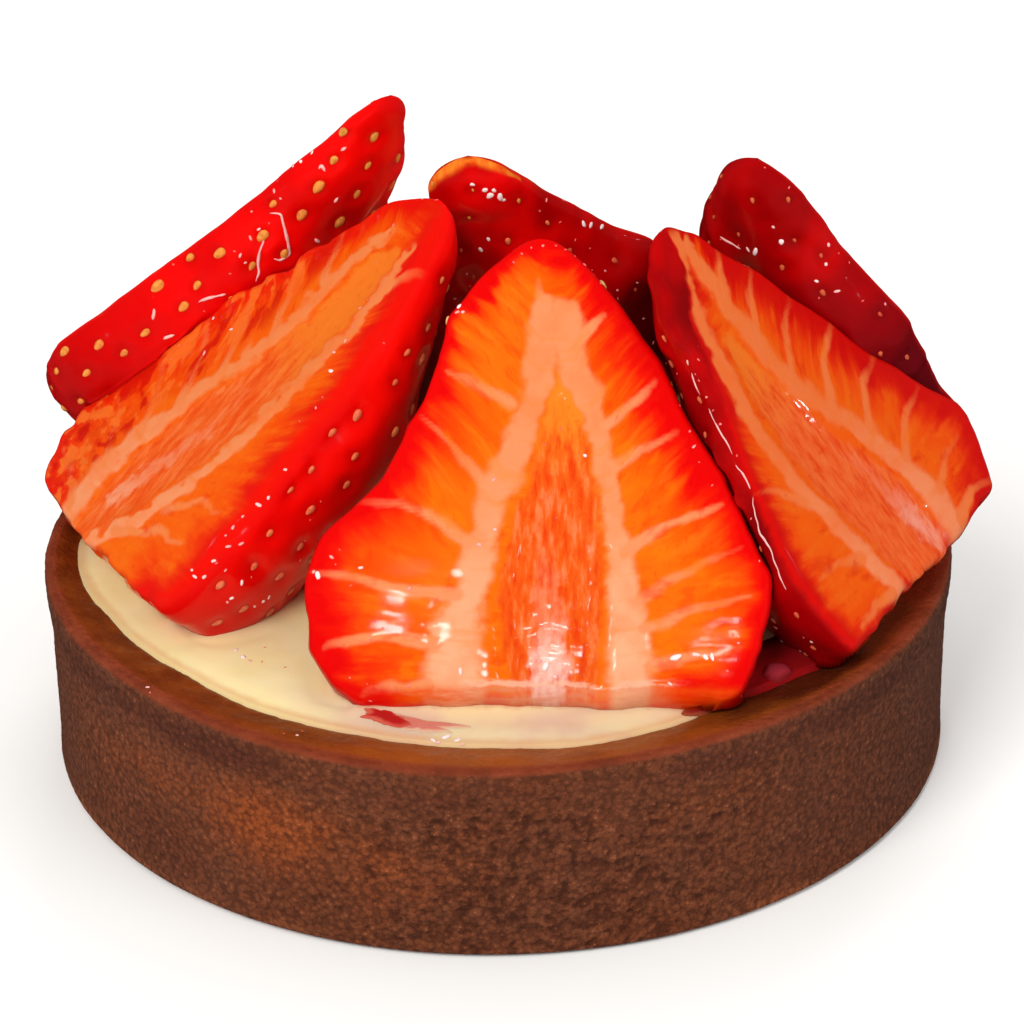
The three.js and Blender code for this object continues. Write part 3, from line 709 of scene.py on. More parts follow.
    # ---- seeds and their pits over the skin
    places = []
    for i, u0 in enumerate(np.arange(1.9, L - 0.9, 3.15)):
        a, c2 = half_widths(name, np.array([u0 / L]))
        hh = b["depth"] * 0.5 * (a[0] + c2[0])
        girth = math.pi * math.sqrt(((a[0] + c2[0]) ** 2 / 4 + hh ** 2) / 2)
        count = max(1, int(round(girth / 3.9)))
        for j in range(count):
            ph0 = (j + (0.5 if i % 2 else 0.03) + rng.uniform(-0.2, 0.2)) / count * math.pi
            if 0.03 < ph0 < math.pi - 0.03 and rng.random() > 0.06:
                places.append(((u0 + rng.uniform(-0.6, 0.6)) / L, ph0))
    places += list(EDGE_SEEDS.get(name, ()))
    places = np.array(places)
    row = np.interp(places[:, 0], s, np.arange(len(s)))
    col = places[:, 1] / math.pi * SKIN_COLS
    ri, ci = np.clip(np.round(row).astype(int), 0, len(s) - 1), np.clip(np.round(col).astype(int), 0, SKIN_COLS)
    SP = P[np.ix_(body, skin_cols)].copy()
    seeds_at = SP[ri, ci]
    flat = SP.reshape(-1, 3)
    near = np.full(len(flat), 9.0)
    which = np.zeros(len(flat), int)
    for kk, q in enumerate(seeds_at):
        d = np.linalg.norm(flat - q, axis=1)
        closer = d < near
        near[closer] = d[closer]
        which[closer] = kk
    near = near.reshape(SP.shape[:2])
    which = which.reshape(SP.shape[:2])
    edge_near = np.minimum(ph[None, :], math.pi - ph[None, :]) * np.maximum(h[:, None], 0.5)
    depth_var = 0.6 + 0.8 * hashed(which, which * 0 + 1, which * 0 + 2, seed)
    pit = bell(near, 0.85)
    lumps = fbm(SP * 0.12, 2, seed + 51) * 0.36 + fbm(SP * 0.33, 2, seed + 52) * 0.07
    skin = (-rd.get("pit", 0.2) * pit * depth_var + 0.05 * smooth(near, 0.6, 1.9)) * smooth(edge_near, 0.0, 0.9) + lumps * smooth(edge_near, 0.0, 2.5)
    for sc, pc, mm_, ws, wp in rd["swell"]:
        skin = skin + mm_ * bell(s - sc, ws)[:, None] * bell(ph - pc, wp)[None] * smooth(edge_near, 0.0, 4.0)
    skin = skin * smooth(1 - s, 0.0, 0.05)[:, None] * smooth(s * L, 0.0, 1.5)[:, None]
    disp[np.ix_(body, skin_cols)] = skin
    cu = np.repeat(f[:, None], C, 1)
    ang = np.arctan2(capD - mid_down, capV)
    disp[:CAP_ROWS] = (0.10 * fbm(stack(capV * 0.5, capD * 0.5, 1.0), 3, seed + 61) + 0.12 * np.cos(ang * 9) * cu ** 2) * smooth(cu, 1.0, 0.85)
    P = P + disp[..., None] * N
    P = keep_clear(P, [q for q in ORDER[:ORDER.index(name)] if (name, q) != ("back_right", "front_right")], 0.2)
    if name == "back_right":
        P = keep_clear(P, ["front_right"], -0.5)
    # clear of the shell's rim and inner wall
    rr = np.hypot(P[..., 0], P[..., 1])
    az = np.arctan2(P[..., 1], P[..., 0])
    top = rim_height(az) + 18.06
    on_rim = (rr > rim_inner(az) + 0.4) & (P[..., 2] < top)
    slope = np.clip((rr - rim_inner(az)) / (38.7 - rim_inner(az)), 0, 1)
    P[..., 2] = np.where(on_rim, top - 0.95 * (1 - slope), P[..., 2])
    pull = np.where((P[..., 2] < 16.9) & (rr > 34.6) & ~on_rim, 34.6 / np.maximum(rr, 1e-6), 1.0)
    P[..., 0] *= pull
    P[..., 1] *= pull
    # ---- masks for the material
    zero = np.zeros((R, C))
    rim, band, pith, strand, pink, psi, rag = (zero.copy() for _ in range(7))
    for arr, key in ((rim, "rim"), (band, "band"), (pith, "pith"), (strand, "strand"), (pink, "pink"), (psi, "psi"), (rag, "ragged")):
        arr[np.ix_(body, face_cols)] = m[key]
    facem = zero.copy()
    facem[np.ix_(body, face_cols)] = m["face"]
    capm = zero.copy()
    capm[:CAP_ROWS] = 1
    facem[:CAP_ROWS] = smooth(cu, 1.02, 0.93)
    rim[:CAP_ROWS] = (1 - cu) * 6.5 + rd.get("cap", 1.2) + fbm(stack(ang * 3, cu, 1.0), 2, seed + 71) * 0.8
    band[:CAP_ROWS] = smooth(cu, 0.62, 0.25)
    psi[:CAP_ROWS] = ang * 4
    if "sliver" in rd:
        # a sliver of the cut shows round the edge near the tip
        wr_, wl_ = rd["sliver"]
        right_side = (ph < math.pi / 2)[None, :]
        wide = np.where(right_side, wr_ * smooth(s, 0.87, 0.96)[:, None], wl_ * smooth(s, 0.92, 1.0)[:, None])
        seen = smooth(edge_near + 0.3 * noise(SP * 0.7, seed + 81), wide * 1.3 + 0.01, wide * 0.5) * (wide > 0.05)
        facem[np.ix_(body, skin_cols)] = seen
        rim[np.ix_(body, skin_cols)] = 3.4 * seen
    pitm = zero.copy()
    pitm[np.ix_(body, skin_cols)] = pit
    a1 = np.stack([rim / 9.0, band, pith], -1)
    a2 = np.stack([pink, strand, pitm], -1)
    a3 = np.stack([facem, U / L, rag], -1)
    a4 = np.stack([psi, V, D], -1)
    # bake map: the skin has the right 36 %, the face the rest
    colu = np.linspace(0.64, 0.995, SKIN_COLS + 1)
    face_u = np.concatenate([[0.005], 0.005 + 0.61 * fq, [0.615]])
    ob = halved_grid("berry_" + name, P, pole0, tip, {
        "flesh": (a1, (0.6, 1, 0), (0, 0, 0)), "marks": (a2, (0.2, 0, 0), (0, 0, 0)),
        "zone": (a3, (1, 0, 0), (0, 1, 0)), "fibre": (a4, (0, 0, 3), (L, 0, 0))},
        np.concatenate([colu[:-1], face_u[:-1]]), np.concatenate([colu[1:], face_u[1:]]), np.concatenate([0.02 + 0.08 * f, 0.115 + 0.87 * s]))
    # where the seeds sit: at the bottom of their pits, on the moved surface
    moved = P[np.ix_(body, skin_cols)]
    NN = ring_normals(P, pole0, tip)
    if np.mean(np.einsum("ijk,ijk->ij", NN, P - mid)) < 0:
        NN = -NN
    NN = NN[np.ix_(body, skin_cols)]
    for kk in range(len(places)):
        i, j = ri[kk], ci[kk]
        stands = kk >= len(places) - len(EDGE_SEEDS.get(name, ()))
        if not stands and np.linalg.norm(moved[i, j] - SP[i, j] - skin[i, j] * N[np.ix_(body, skin_cols)][i, j]) > 0.25:
            continue    # hidden where the half presses on its neighbour
        nn = NN[i, j]
        al = ax - nn * (ax @ nn)
        al /= np.linalg.norm(al)
        seed_places.append((name, moved[i, j], nn, al, places[kk, 0], rng.random(4), stands))
    return ob


def halved_grid(name, P, pole0, pole1, attrs, U0, U1, vrow):
    """wrapped_grid with a bake map whose columns may break between one column and the next."""
    ob = wrapped_grid(name, P, pole0, pole1, attrs)
    R, C = P.shape[:2]
    me = ob.data
    nl = len(me.loops)
    vi = np.zeros(nl, np.int32)
    me.loops.foreach_get("vertex_index", vi)
    npoly = len(me.polygons)
    start = np.zeros(npoly, np.int32)
    me.polygons.foreach_get("loop_start", start)
    end = np.append(start[1:], nl)
    poly_of = np.repeat(np.arange(npoly), end - start)
    col = np.where(vi < R * C, vi % C, -1)
    row = np.where(vi < R * C, vi // C, -1)
    # each quad or triangle spans columns c and c + 1: find its lower column
    nq = (R - 1) * C
    base = np.where(poly_of < nq, poly_of % C, (poly_of - nq) % C)
    left = col == base
    u = np.where(left, U0[base], U1[base])
    u = np.where(col < 0, 0.5 * (U0[base] + U1[base]), u)
    vv = np.where(vi == R * C, 0.008, np.where(vi == R * C + 1, 0.992, vrow[np.clip(row, 0, R - 1)]))
    me.uv_layers["OFBake"].data.foreach_set("uv", np.stack([u, vv], -1).astype(np.float32).ravel())
    return ob


# ---------------------------------------------------------------------------------------------
# strawberry material
# ---------------------------------------------------------------------------------------------
TONES = {   # flesh and skin gain; skin bright and dark, and painted shade low down towards the stalk end (colour, share of the length where it starts and where it is full); flesh from the rim inwards, band, pith, streak; display colours
    "front": dict(gain=0.78, skin_gain=0.80, skin=((238, 2, 2), (205, 1, 2)), low=(190, 1, 2, 0.2, 0.0), rim=(238, 0, 0), outer=((246, 22, 0), (250, 68, 0), (251, 92, 0), (251, 112, 8)), band=((249, 150, 98), (251, 182, 138)), pith=((246, 98, 22), (238, 62, 8)), pink=(247, 138, 98), pale=(250, 208, 192)),
    "front_left": dict(gain=0.81, skin_gain=1.0, skin=((242, 9, 3), (220, 3, 2)), low=(214, 3, 3, 0.3, 0.0), rim=(236, 14, 2), outer=((236, 26, 0), (243, 50, 0), (248, 78, 0), (250, 98, 4)), band=((246, 136, 76), (249, 154, 104)), pith=((245, 100, 32), (238, 76, 14)), pink=(245, 134, 92), pale=(248, 158, 118)),
    # this half's skin is darker, partly its own deeper red and partly painted shade where the front half shades its
    # flank
    "front_right": dict(gain=0.84, skin_gain=0.9, skin=((186, 1, 3), (132, 0, 3)), low=(150, 0, 4, 0.35, 0.0), rim=(208, 6, 2), outer=((212, 16, 0), (226, 40, 0), (237, 70, 0), (240, 90, 4)), band=((238, 118, 60), (242, 138, 92)), pith=((238, 98, 40), (228, 66, 16)), pink=(240, 118, 86), pale=(242, 152, 128)),
    "back_left": dict(gain=0.92, skin_gain=1.02, skin=((232, 5, 3), (206, 2, 2)), low=(168, 0, 1, 0.45, 0.08), rim=(236, 8, 3), outer=((240, 40, 3), (247, 74, 4), (249, 98, 10), (248, 112, 30)), band=((248, 138, 84), (250, 164, 118)), pith=((246, 106, 28), (240, 76, 16)), pink=(246, 138, 102), pale=(249, 194, 170)),
    "back_right": dict(gain=1.0, skin_gain=1.0, skin=((190, 0, 1), (146, 0, 3)), low=(98, 0, 9, 0.82, 0.4), rim=(206, 6, 5), outer=((216, 32, 4), (230, 58, 6), (238, 84, 14), (238, 98, 28)), band=((242, 124, 80), (246, 152, 116)), pith=((234, 88, 26), (226, 64, 18)), pink=(242, 124, 100), pale=(246, 184, 168)),
    "back": dict(gain=0.95, skin_gain=1.12, skin=((210, 2, 3), (160, 0, 1)), low=(102, 0, 2, 0.79, 0.42), rim=(222, 8, 3), outer=((232, 40, 3), (240, 70, 4), (243, 96, 14), (246, 112, 30)), band=((247, 132, 80), (250, 158, 114)), pith=((242, 96, 26), (236, 72, 16)), pink=(246, 132, 98), pale=(248, 188, 164)),
}


def strawberry_material(name, seed):
    c = TONES[name]
    gain = c["gain"]
    lin = lambda r, g, b: tuple(gain * q for q in display(r, g, b)[:3]) + (1.0,)
    m = Mat("strawberry_" + name)
    _, rim, band, pith = m.attr("flesh", True)
    _, pink, strand, pit = m.attr("marks", True)
    _, facem, reach, ragged = m.attr("zone", True)
    fib, psi, across, depth = m.attr("fibre", True)
    place = m.place()
    off = (seed * 7.3, seed * 3.1, seed * 5.7)
    # fibres along the strands, and the fine grain of wet flesh
    fibre = m.noise(m.add(m.scale(fib, (1.15, 0.20, 0.5)), off), 1.0, 3.0, 0.55)
    grain = m.noise(m.add(m.scale(fib, (1, 1, 0.5)), off), 1.3, 4.0, 0.6)
    blotch = m.noise(m.add(place, off), 0.33, 3.0, 0.5)
    # rim colour to orange, inwards
    jag = m.math("MULTIPLY_ADD", m.math("SUBTRACT", fibre, 0.5), 0.42, m.math("MULTIPLY_ADD", m.math("SUBTRACT", blotch, 0.5), 0.26, rim))
    jag = m.math("MULTIPLY_ADD", ragged, -0.12, jag)
    o1, o2, o3, o4 = c["outer"]
    flesh = m.ramp(jag, [(0.0, lin(*c["rim"])), (0.13, lin(*c["rim"])), (0.24, lin(*o1)), (0.37, lin(*o2)), (0.55, lin(*o3)), (0.85, lin(*o4))])
    b_lo, b_hi = c["band"]
    band_col = m.mix(m.range(reach, 0.55, 0.04), lin(*b_lo), lin(*b_hi))
    band_col = m.mix(m.range(blotch, 0.4, 0.7, 0.0, 0.3), band_col, lin(*o4))
    edge = m.math("MULTIPLY_ADD", m.math("SUBTRACT", grain, 0.5), 0.45, band)
    flesh = m.mix(m.math("MULTIPLY", m.range(edge, 0.08, 0.95), m.range(rim, 0.02, 0.16)), flesh, band_col)
    st = m.math("MULTIPLY_ADD", m.math("SUBTRACT", fibre, 0.5), 0.5, strand)
    flesh = m.mix(m.math("MULTIPLY", m.range(st, 0.1, 0.8, 0.0, 1.0), m.range(rim, 0.0, 0.3, 0.3, 1.0)), flesh, lin(*b_lo))
    faint = m.math("MULTIPLY", m.range(fibre, 0.50, 0.72, 0.0, 0.36), m.range(rim, 0.2, 0.45))
    flesh = m.mix(faint, flesh, lin(o4[0], o4[1] + 22, o4[2] + 20))
    # patches that lean to yellow or to red
    patch = m.noise(m.add(m.scale(fib, (0.62, 0.30, 0.5)), (off[1], off[2], off[0])), 1.0, 3.0, 0.6)
    open_flesh = m.math("MULTIPLY", m.range(rim, 0.22, 0.5), m.range(band, 0.6, 0.0))
    flesh = m.mix(m.math("MULTIPLY", m.range(patch, 0.52, 0.68, 0.0, 0.5), open_flesh), flesh, lin(o4[0], o4[1] + 16, 4))
    flesh = m.mix(m.math("MULTIPLY", m.range(patch, 0.46, 0.30, 0.0, 0.5), open_flesh), flesh, lin(o2[0] - 6, o2[1] - 10, 0))
    # pith: coarse fibres along the berry
    p1, p2 = c["pith"]
    pc = m.noise(m.add(m.scale(fib, (0.42, 1.5, 0.5)), off), 1.0, 4.0, 0.6)
    pith_col = m.ramp(pc, [(0.33, lin(*p2)), (0.52, lin(*p1)), (0.78, lin(*c["band"][0]))])
    pith_col = m.mix(m.range(m.math("MULTIPLY_ADD", m.math("SUBTRACT", pc, 0.5), 0.3, reach), 0.46, 0.66), pith_col, lin(o4[0] - 2, o4[1] + 26, 34))
    flesh = m.mix(m.math("MULTIPLY", m.range(pith, 0.1, 0.9), 0.95), flesh, pith_col)
    pk = m.math("MULTIPLY_ADD", m.math("SUBTRACT", pc, 0.5), 0.8, pink)
    flesh = m.mix(m.math("MULTIPLY", m.range(pk, 0.15, 0.95, 0.0, 0.92), m.range(pink, 0.02, 0.2)), flesh, m.mix(m.range(reach, 0.20, 0.08), lin(*c["pink"]), lin(*c["pale"])))
    if name == "front":
        # the rounded foot: a painted highlight as a pale line where the cut ends, browner and pinker below it
        foot = m.math("MULTIPLY_ADD", m.math("SUBTRACT", grain, 0.5), 0.014, reach)
        side = m.math("ABSOLUTE", m.math("SUBTRACT", across, 1.5))
        mott_foot = m.noise(m.add(m.scale(place, (0.28, 0.28, 1.5)), off), 1.0, 3.0, 0.6)
        under = m.mix(m.range(side, 5.5, 9.5), lin(236, 146, 108), m.mix(m.range(side, 12.0, 15.5), lin(244, 84, 6), lin(238, 12, 2)))
        flesh = m.mix(m.math("MULTIPLY", m.range(foot, 0.046, 0.028), m.range(mott_foot, 0.35, 0.65, 0.3, 0.8)), flesh, under)
        # painted highlight: the pale line along the rounded edge of the foot
        line = m.math("MULTIPLY", m.math("MULTIPLY", m.range(foot, 0.034, 0.040), m.range(foot, 0.052, 0.044)), m.range(mott_foot, 0.42, 0.56))
        flesh = m.mix(m.math("MULTIPLY", line, m.range(side, 10.5, 6.5, 0.0, 0.8)), flesh, lin(250, 190, 158))
    # bits of deeper red between the fibres
    flesh = m.mix(m.math("MULTIPLY", m.range(grain, 0.42, 0.28, 0.0, 0.3), m.range(band, 0.5, 0.0)), flesh, lin(*o1))
    if name == "back":
        flesh = m.mix(m.range(reach, 0.82, 0.96, 0.0, 0.8), flesh, m.ramp(grain, [(0.35, lin(222, 84, 14)), (0.65, lin(242, 148, 44))]))
    # torn edge: orange shreds with dark red between them
    flesh = m.mix(m.math("MULTIPLY", ragged, 0.5), flesh, lin(238, 48, 2))
    torn = m.noise(m.add(m.scale(fib, (0.42, 0.30, 0.5)), off), 1.0, 3.0, 0.6)
    flesh = m.mix(m.math("MULTIPLY", m.range(torn, 0.49, 0.40), m.math("MULTIPLY", ragged, 0.9)), flesh, lin(214, 18, 2))
    flesh = m.mix(m.math("MULTIPLY", m.range(torn, 0.52, 0.60), m.math("MULTIPLY", ragged, 0.9)), flesh, lin(249, 112, 36))
    # skin
    gain = c["skin_gain"]
    broad = m.noise(m.add(place, off), 0.14, 2.0, 0.5)
    mott = m.noise(m.add(place, off), 1.1, 3.0, 0.6)
    s_hi, s_lo = c["skin"]
    skin = m.mix(m.range(broad, 0.35, 0.65), lin(*s_hi), lin(*s_lo))
    skin = m.mix(m.range(mott, 0.5, 0.8, 0.0, 0.3), skin, lin(*s_lo))
    # painted shade: darker in the seeds' pits
    skin = m.mix(m.range(pit, 0.1, 0.9, 0.0, 0.3), skin, lin(s_lo[0] * 0.8, s_lo[1] + 4, s_lo[2]))
    # painted shade: the skin darker towards the stalk end, low on the cream
    low = c["low"]
    skin = m.mix(m.range(m.math("MULTIPLY_ADD", m.math("SUBTRACT", broad, 0.5), 0.3, reach), low[3], low[4]), skin, lin(*low[:3]))
    col = m.mix(facem, skin, flesh)
    rough = m.range(m.math("MULTIPLY_ADD", m.math("SUBTRACT", grain, 0.5), 0.5, facem), 0.0, 1.0, 0.36, 0.48, "LINEAR")
    height = m.mix(facem, m.math("MULTIPLY", mott, 0.5), m.math("MULTIPLY_ADD", fibre, 0.5, m.math("MULTIPLY", grain, 0.9)))
    m.set(color=col, rough=rough, normal=m.bump(height, 0.5, 0.00012), coat=m.range(facem, 0.0, 1.0, 0.5, 1.0, "LINEAR"), coat_rough=0.04, coat_ior=1.33, ior=1.33, spec=0.12, sss=0.16, sss_radius=(0.0014, 0.0004, 0.0002), sss_scale=0.5)
    return m.m


# ---------------------------------------------------------------------------------------------
# crust shell
# ---------------------------------------------------------------------------------------------
def arc(cx, cz, r, a0, a1, steps):
    t = np.radians(np.linspace(a0, a1, steps + 1))
    return np.stack([cx + r * np.cos(t), cz + r * np.sin(t)], -1)


def build_crust():
    nth = 960
    prof, tag = [], []

    def put(pts, kind):
        for q in pts:
            prof.append(tuple(q))
            tag.append(kind)
    put([(14, 0), (30, 0), (36.5, 0), (38.8, 0)], 0)
    put(arc(39.5, 0.5, 0.5, -90, 0, 4), 1)
    put([(40, z) for z in np.linspace(0.5, 17.5, 64)[1:-1]], 1)
    put(arc(39.5, 17.5, 0.5, 0, 90, 6), 1)
    # the rest of the rim is given as a share of the way from the top's outer part (0) to the cream (1)
    slope_t = np.linspace(0.0, 1.0, 14)
    put([(39.2 - 2.0 * q, 17.95) for q in slope_t], 2)
    put([(36.0, 16.0), (36.1, 14.0), (35.8, 4.6), (34.6, 3.4), (16, 3.4)], 3)
    prof, tag = np.array(prof), np.array(tag)
    th = np.arange(nth) / nth * TAU - math.pi
    A = th[None, :]
    r = prof[:, 0][:, None] * np.ones_like(A)
    z = prof[:, 1][:, None] * np.ones_like(A)
    rc = rim_inner(th)
    sl = np.where(tag == 2)[0]
    tt = slope_t[:, None]
    r[sl] = 39.2 + (rc[None] - 0.25 - 39.2) * tt
    z[sl] = 17.99 - 0.16 * smooth(tt, 0.0, 0.25) - 0.92 * smooth(tt, 0.12, 1.02) - 0.12 * tt - 0.3 * smooth(tt, 0.88, 1.0)
    first_in = np.where(tag == 3)[0][0]
    r[first_in] = rc - 0.3
    z[first_in] = 16.2
    zmask = np.where(tag == 2, 17.9, prof[:, 1])[:, None] * np.ones_like(A)
    Z = z + rim_height(A) * smooth(z, 9.0, 16.0)
    outer = (r > 37.5) & (z > 0.4) & (tag != 2)[:, None]
    lean = (0.22 * np.abs(np.cos(A)) + 0.2 * bell(wrap(A - math.pi), 0.3)) * smooth(z, 12.5, 17.3) + 0.08 * bell(wrap(A + 2.6), 0.45) * smooth(z, 12.0, 2.0) - 0.14 * bell(wrap(A + 0.75), 0.6) * smooth(z, 14.0, 8.0) - 0.18 * np.maximum(np.cos(A), 0) * smooth(z, 0.0, 3.0) * smooth(z, 17.0, 11.0)
    Rr = r + np.where(outer, wall_out(A) * smooth(z, 0, 3) + lean, 0.0) + np.where((tag == 2)[:, None], lean * (1 - np.interp(np.arange(len(tag)), sl, slope_t)[:, None]), 0.0)
    P = stack(Rr * np.cos(A), Rr * np.sin(A), Z)
    pole0, pole1 = np.zeros(3), np.array([0, 0, 3.4])
    N = ring_normals(P, pole0, pole1)
    if (N[30, 0] @ P[30, 0]) < 0:
        N = -N
    wall = smooth(z, 0.15, 0.9) * smooth(z, 17.75, 17.0) * (tag == 1)[:, None]
    front = bell(wrap(A + math.radians(86)), 0.55) * np.ones_like(z)
    # grain of the baked crumb: rounded grains, smaller ones between, shallow wrinkles, and pits where grains fell out
    q = P.copy()
    warp = np.stack([noise(q * 0.8, 41), noise(q * 0.8, 42), noise(q * 0.8, 43)], -1)
    d1, own1 = cells((q + 0.25 * warp) / np.array([0.95, 0.95, 0.75]), 3)
    d3, own3 = cells(q / 1.9, 23)
    dome1 = np.clip(1 - d1 / 0.75, 0, 1)
    crease = 1 - np.abs(fbm((q + 0.6 * warp) * np.array([0.42, 0.42, 0.95]), 2, 51)) * 3.6
    crease = np.clip(crease, 0, 1) ** 1.5
    worm = np.clip(1 - np.abs(fbm((q + 0.35 * warp) * np.array([0.62, 0.62, 1.05]), 2, 53)) * 4.2, 0, 1)
    small = fbm(q * 1.25, 2, 57)
    amount = 0.42 + 0.95 * front * smooth(z, 16.5, 12.0) + 0.2 * fbm(q * 0.10, 2, 61)
    amount = np.clip(amount, 0.25, 1.35)
    grains = 0.22 * (dome1 - 0.45) * (0.4 + 0.6 * own1) + 0.07 * small
    pits = -0.15 * np.clip(1 - d3 / 0.22, 0, 1) * (own3 > 0.7)
    wrinkle = -0.03 * crease * (0.25 + 0.75 * front) - 0.11 * worm * front
    fine_rel = (grains + pits + wrinkle) * amount
    broad = 0.05 * fbm(q * 0.2, 2, 71)
    rim_zone = (tag == 2)[:, None] | ((tag == 1)[:, None] & (z > 17.45))
    rel_rim = 0.075 * fbm(q * 0.55, 3, 81) + 0.055 * (dome1 - 0.3) + 0.07 * fbm(stack(A * 9.0, Rr * 0.25, 0), 2, 82)
    disp = np.where(rim_zone, rel_rim, (fine_rel + broad) * wall + rel_rim * (1 - wall) * 0.4)
    disp = np.where((tag == 0)[:, None], 0.0, disp)
    disp = np.where((tag == 3)[:, None], 0.0, disp)
    disp = disp * smooth(Z, 0.02, 0.5)
    P = P + np.clip(disp, -0.3, 0.2)[..., None] * N
    P[..., 2] = np.maximum(P[..., 2], 0.0)
    # masks: relief, bands, blotches, painted shade and painted light
    ang = lambda deg: wrap(A - math.radians(deg))
    warm = bell(ang(-119), 0.20) * bell(z - 9.5, 4.2)
    warm = np.maximum(warm, 0.85 * bell(ang(-132), 0.16) * bell(z - 11.2, 3.4))
    warm = np.maximum(warm, 0.45 * bell(ang(-145), 0.14) * bell(z - 10.2, 3.2))
    warm = np.maximum(warm, 0.5 * bell(ang(-104), 0.2) * bell(z - 8, 4.5))
    warm = np.maximum(warm, 0.35 * bell(ang(-66), 0.26) * bell(z - 11.5, 4.2))
    warm = np.maximum(warm, 0.5 * bell(ang(60), 0.5) * bell(z - 9, 5))
    warm = np.maximum(warm, 0.6 * bell(ang(140), 0.3) * bell(z - 8, 5))
    warm = warm * (0.8 + 0.5 * fbm(q * 0.15, 2, 101))
    warm = np.where((tag == 2)[:, None], bell(ang(-92), 0.55) * (0.8 + 0.4 * fbm(q * 0.3, 2, 102)), warm)
    # painted shade: a band under the rim, darker towards the sides of the wall, and one darker patch low on the left
    # front
    dark = bell(z - 15.8, 1.7) * (0.45 + 0.55 * smooth(np.abs(ang(-90)), 0.25, 0.6)) * (0.75 + 0.5 * fbm(q * 0.13, 2, 111))
    dark = np.maximum(dark, 0.5 * bell(ang(-136), 0.18) * bell(z - 4, 3.4))
    dark = np.maximum(dark, 0.35 * smooth(np.abs(ang(-110)), 0.75, 1.05) * smooth(np.abs(ang(-110)), 2.6, 1.6))
    # on the rim's slope: painted shade in the gap between the two front halves
    dark = np.where((tag == 2)[:, None], bell(ang(-46), 0.27) * (0.85 + 0.5 * fbm(q * 0.3, 2, 112)) * np.interp(np.arange(len(tag)), sl, smooth(slope_t, 0.05, 0.4))[:, None], dark)
    # painted light: lighter towards the foot of the wall, more so away from the front
    low = smooth(z, 2.2, 0.3) * (0.5 + 0.8 * fbm(q * 0.12, 2, 121)) * (0.3 + 0.7 * smooth(np.abs(ang(-92)), 0.15, 0.7))
    # painted shade on the right side of the wall: darker and greyer there; on the rim the same mask only turns the
    # soaked slope redder
    grey = smooth(ang(-30), -0.35, 0.15) * smooth(np.abs(ang(-10)), 0.9, 0.4)
    relief = np.clip(0.54 + (grains + pits + 0.9 * wrinkle) * amount / 0.30, 0, 1)
    rimm = np.where((tag == 2)[:, None], 1.0, smooth(z, 17.6, 17.92) * (tag == 1)[:, None])
    inner = np.where((tag == 2)[:, None], np.interp(np.arange(len(tag)), sl, smooth(slope_t, 0.0, 0.18))[:, None], 0.0)
    inner = np.where((tag == 3)[:, None], 1.0, inner) * np.ones_like(z)
    near_cream = np.where((tag == 2)[:, None], np.interp(np.arange(len(tag)), sl, slope_t)[:, None], 0.0) * np.ones_like(z)
    # arris: where the painted highlight along the rim's outer edge lies, weaker at the front
    arris = np.where((tag == 2)[:, None], np.interp(np.arange(len(tag)), sl, bell(slope_t - 0.07, 0.075))[:, None], 0.4 * smooth(z, 17.72, 17.97) * (tag == 1)[:, None]) * (0.75 + 0.6 * fbm(q * 0.5, 2, 131)) * (1 - 0.6 * bell(wrap(A + math.radians(92)), 0.4))
    a1 = np.stack([relief, rimm, inner], -1)
    a2 = np.clip(np.stack([warm, dark, low], -1), 0, 1)
    a3 = np.stack([np.clip(arris, 0, 1), grey * np.ones_like(z), near_cream], -1)
    along = np.hypot(np.diff(prof[:, 0]), np.diff(prof[:, 1])) * np.where(tag[1:] == 1, 1.0, np.where(tag[1:] == 2, 2.0, 0.12))
    lengths = np.concatenate([[0], np.cumsum(along)])
    rows = 0.02 + 0.96 * lengths / lengths[-1]
    return wrapped_grid("crust", P, pole0, pole1, {"relief": (a1, (0.5, 0, 0), (0.5, 0, 1)), "tint": (a2, (0, 0, 0), (0, 0, 0)), "edge": (a3, (0, 0, 0), (0, 0, 0))}, rows=rows)


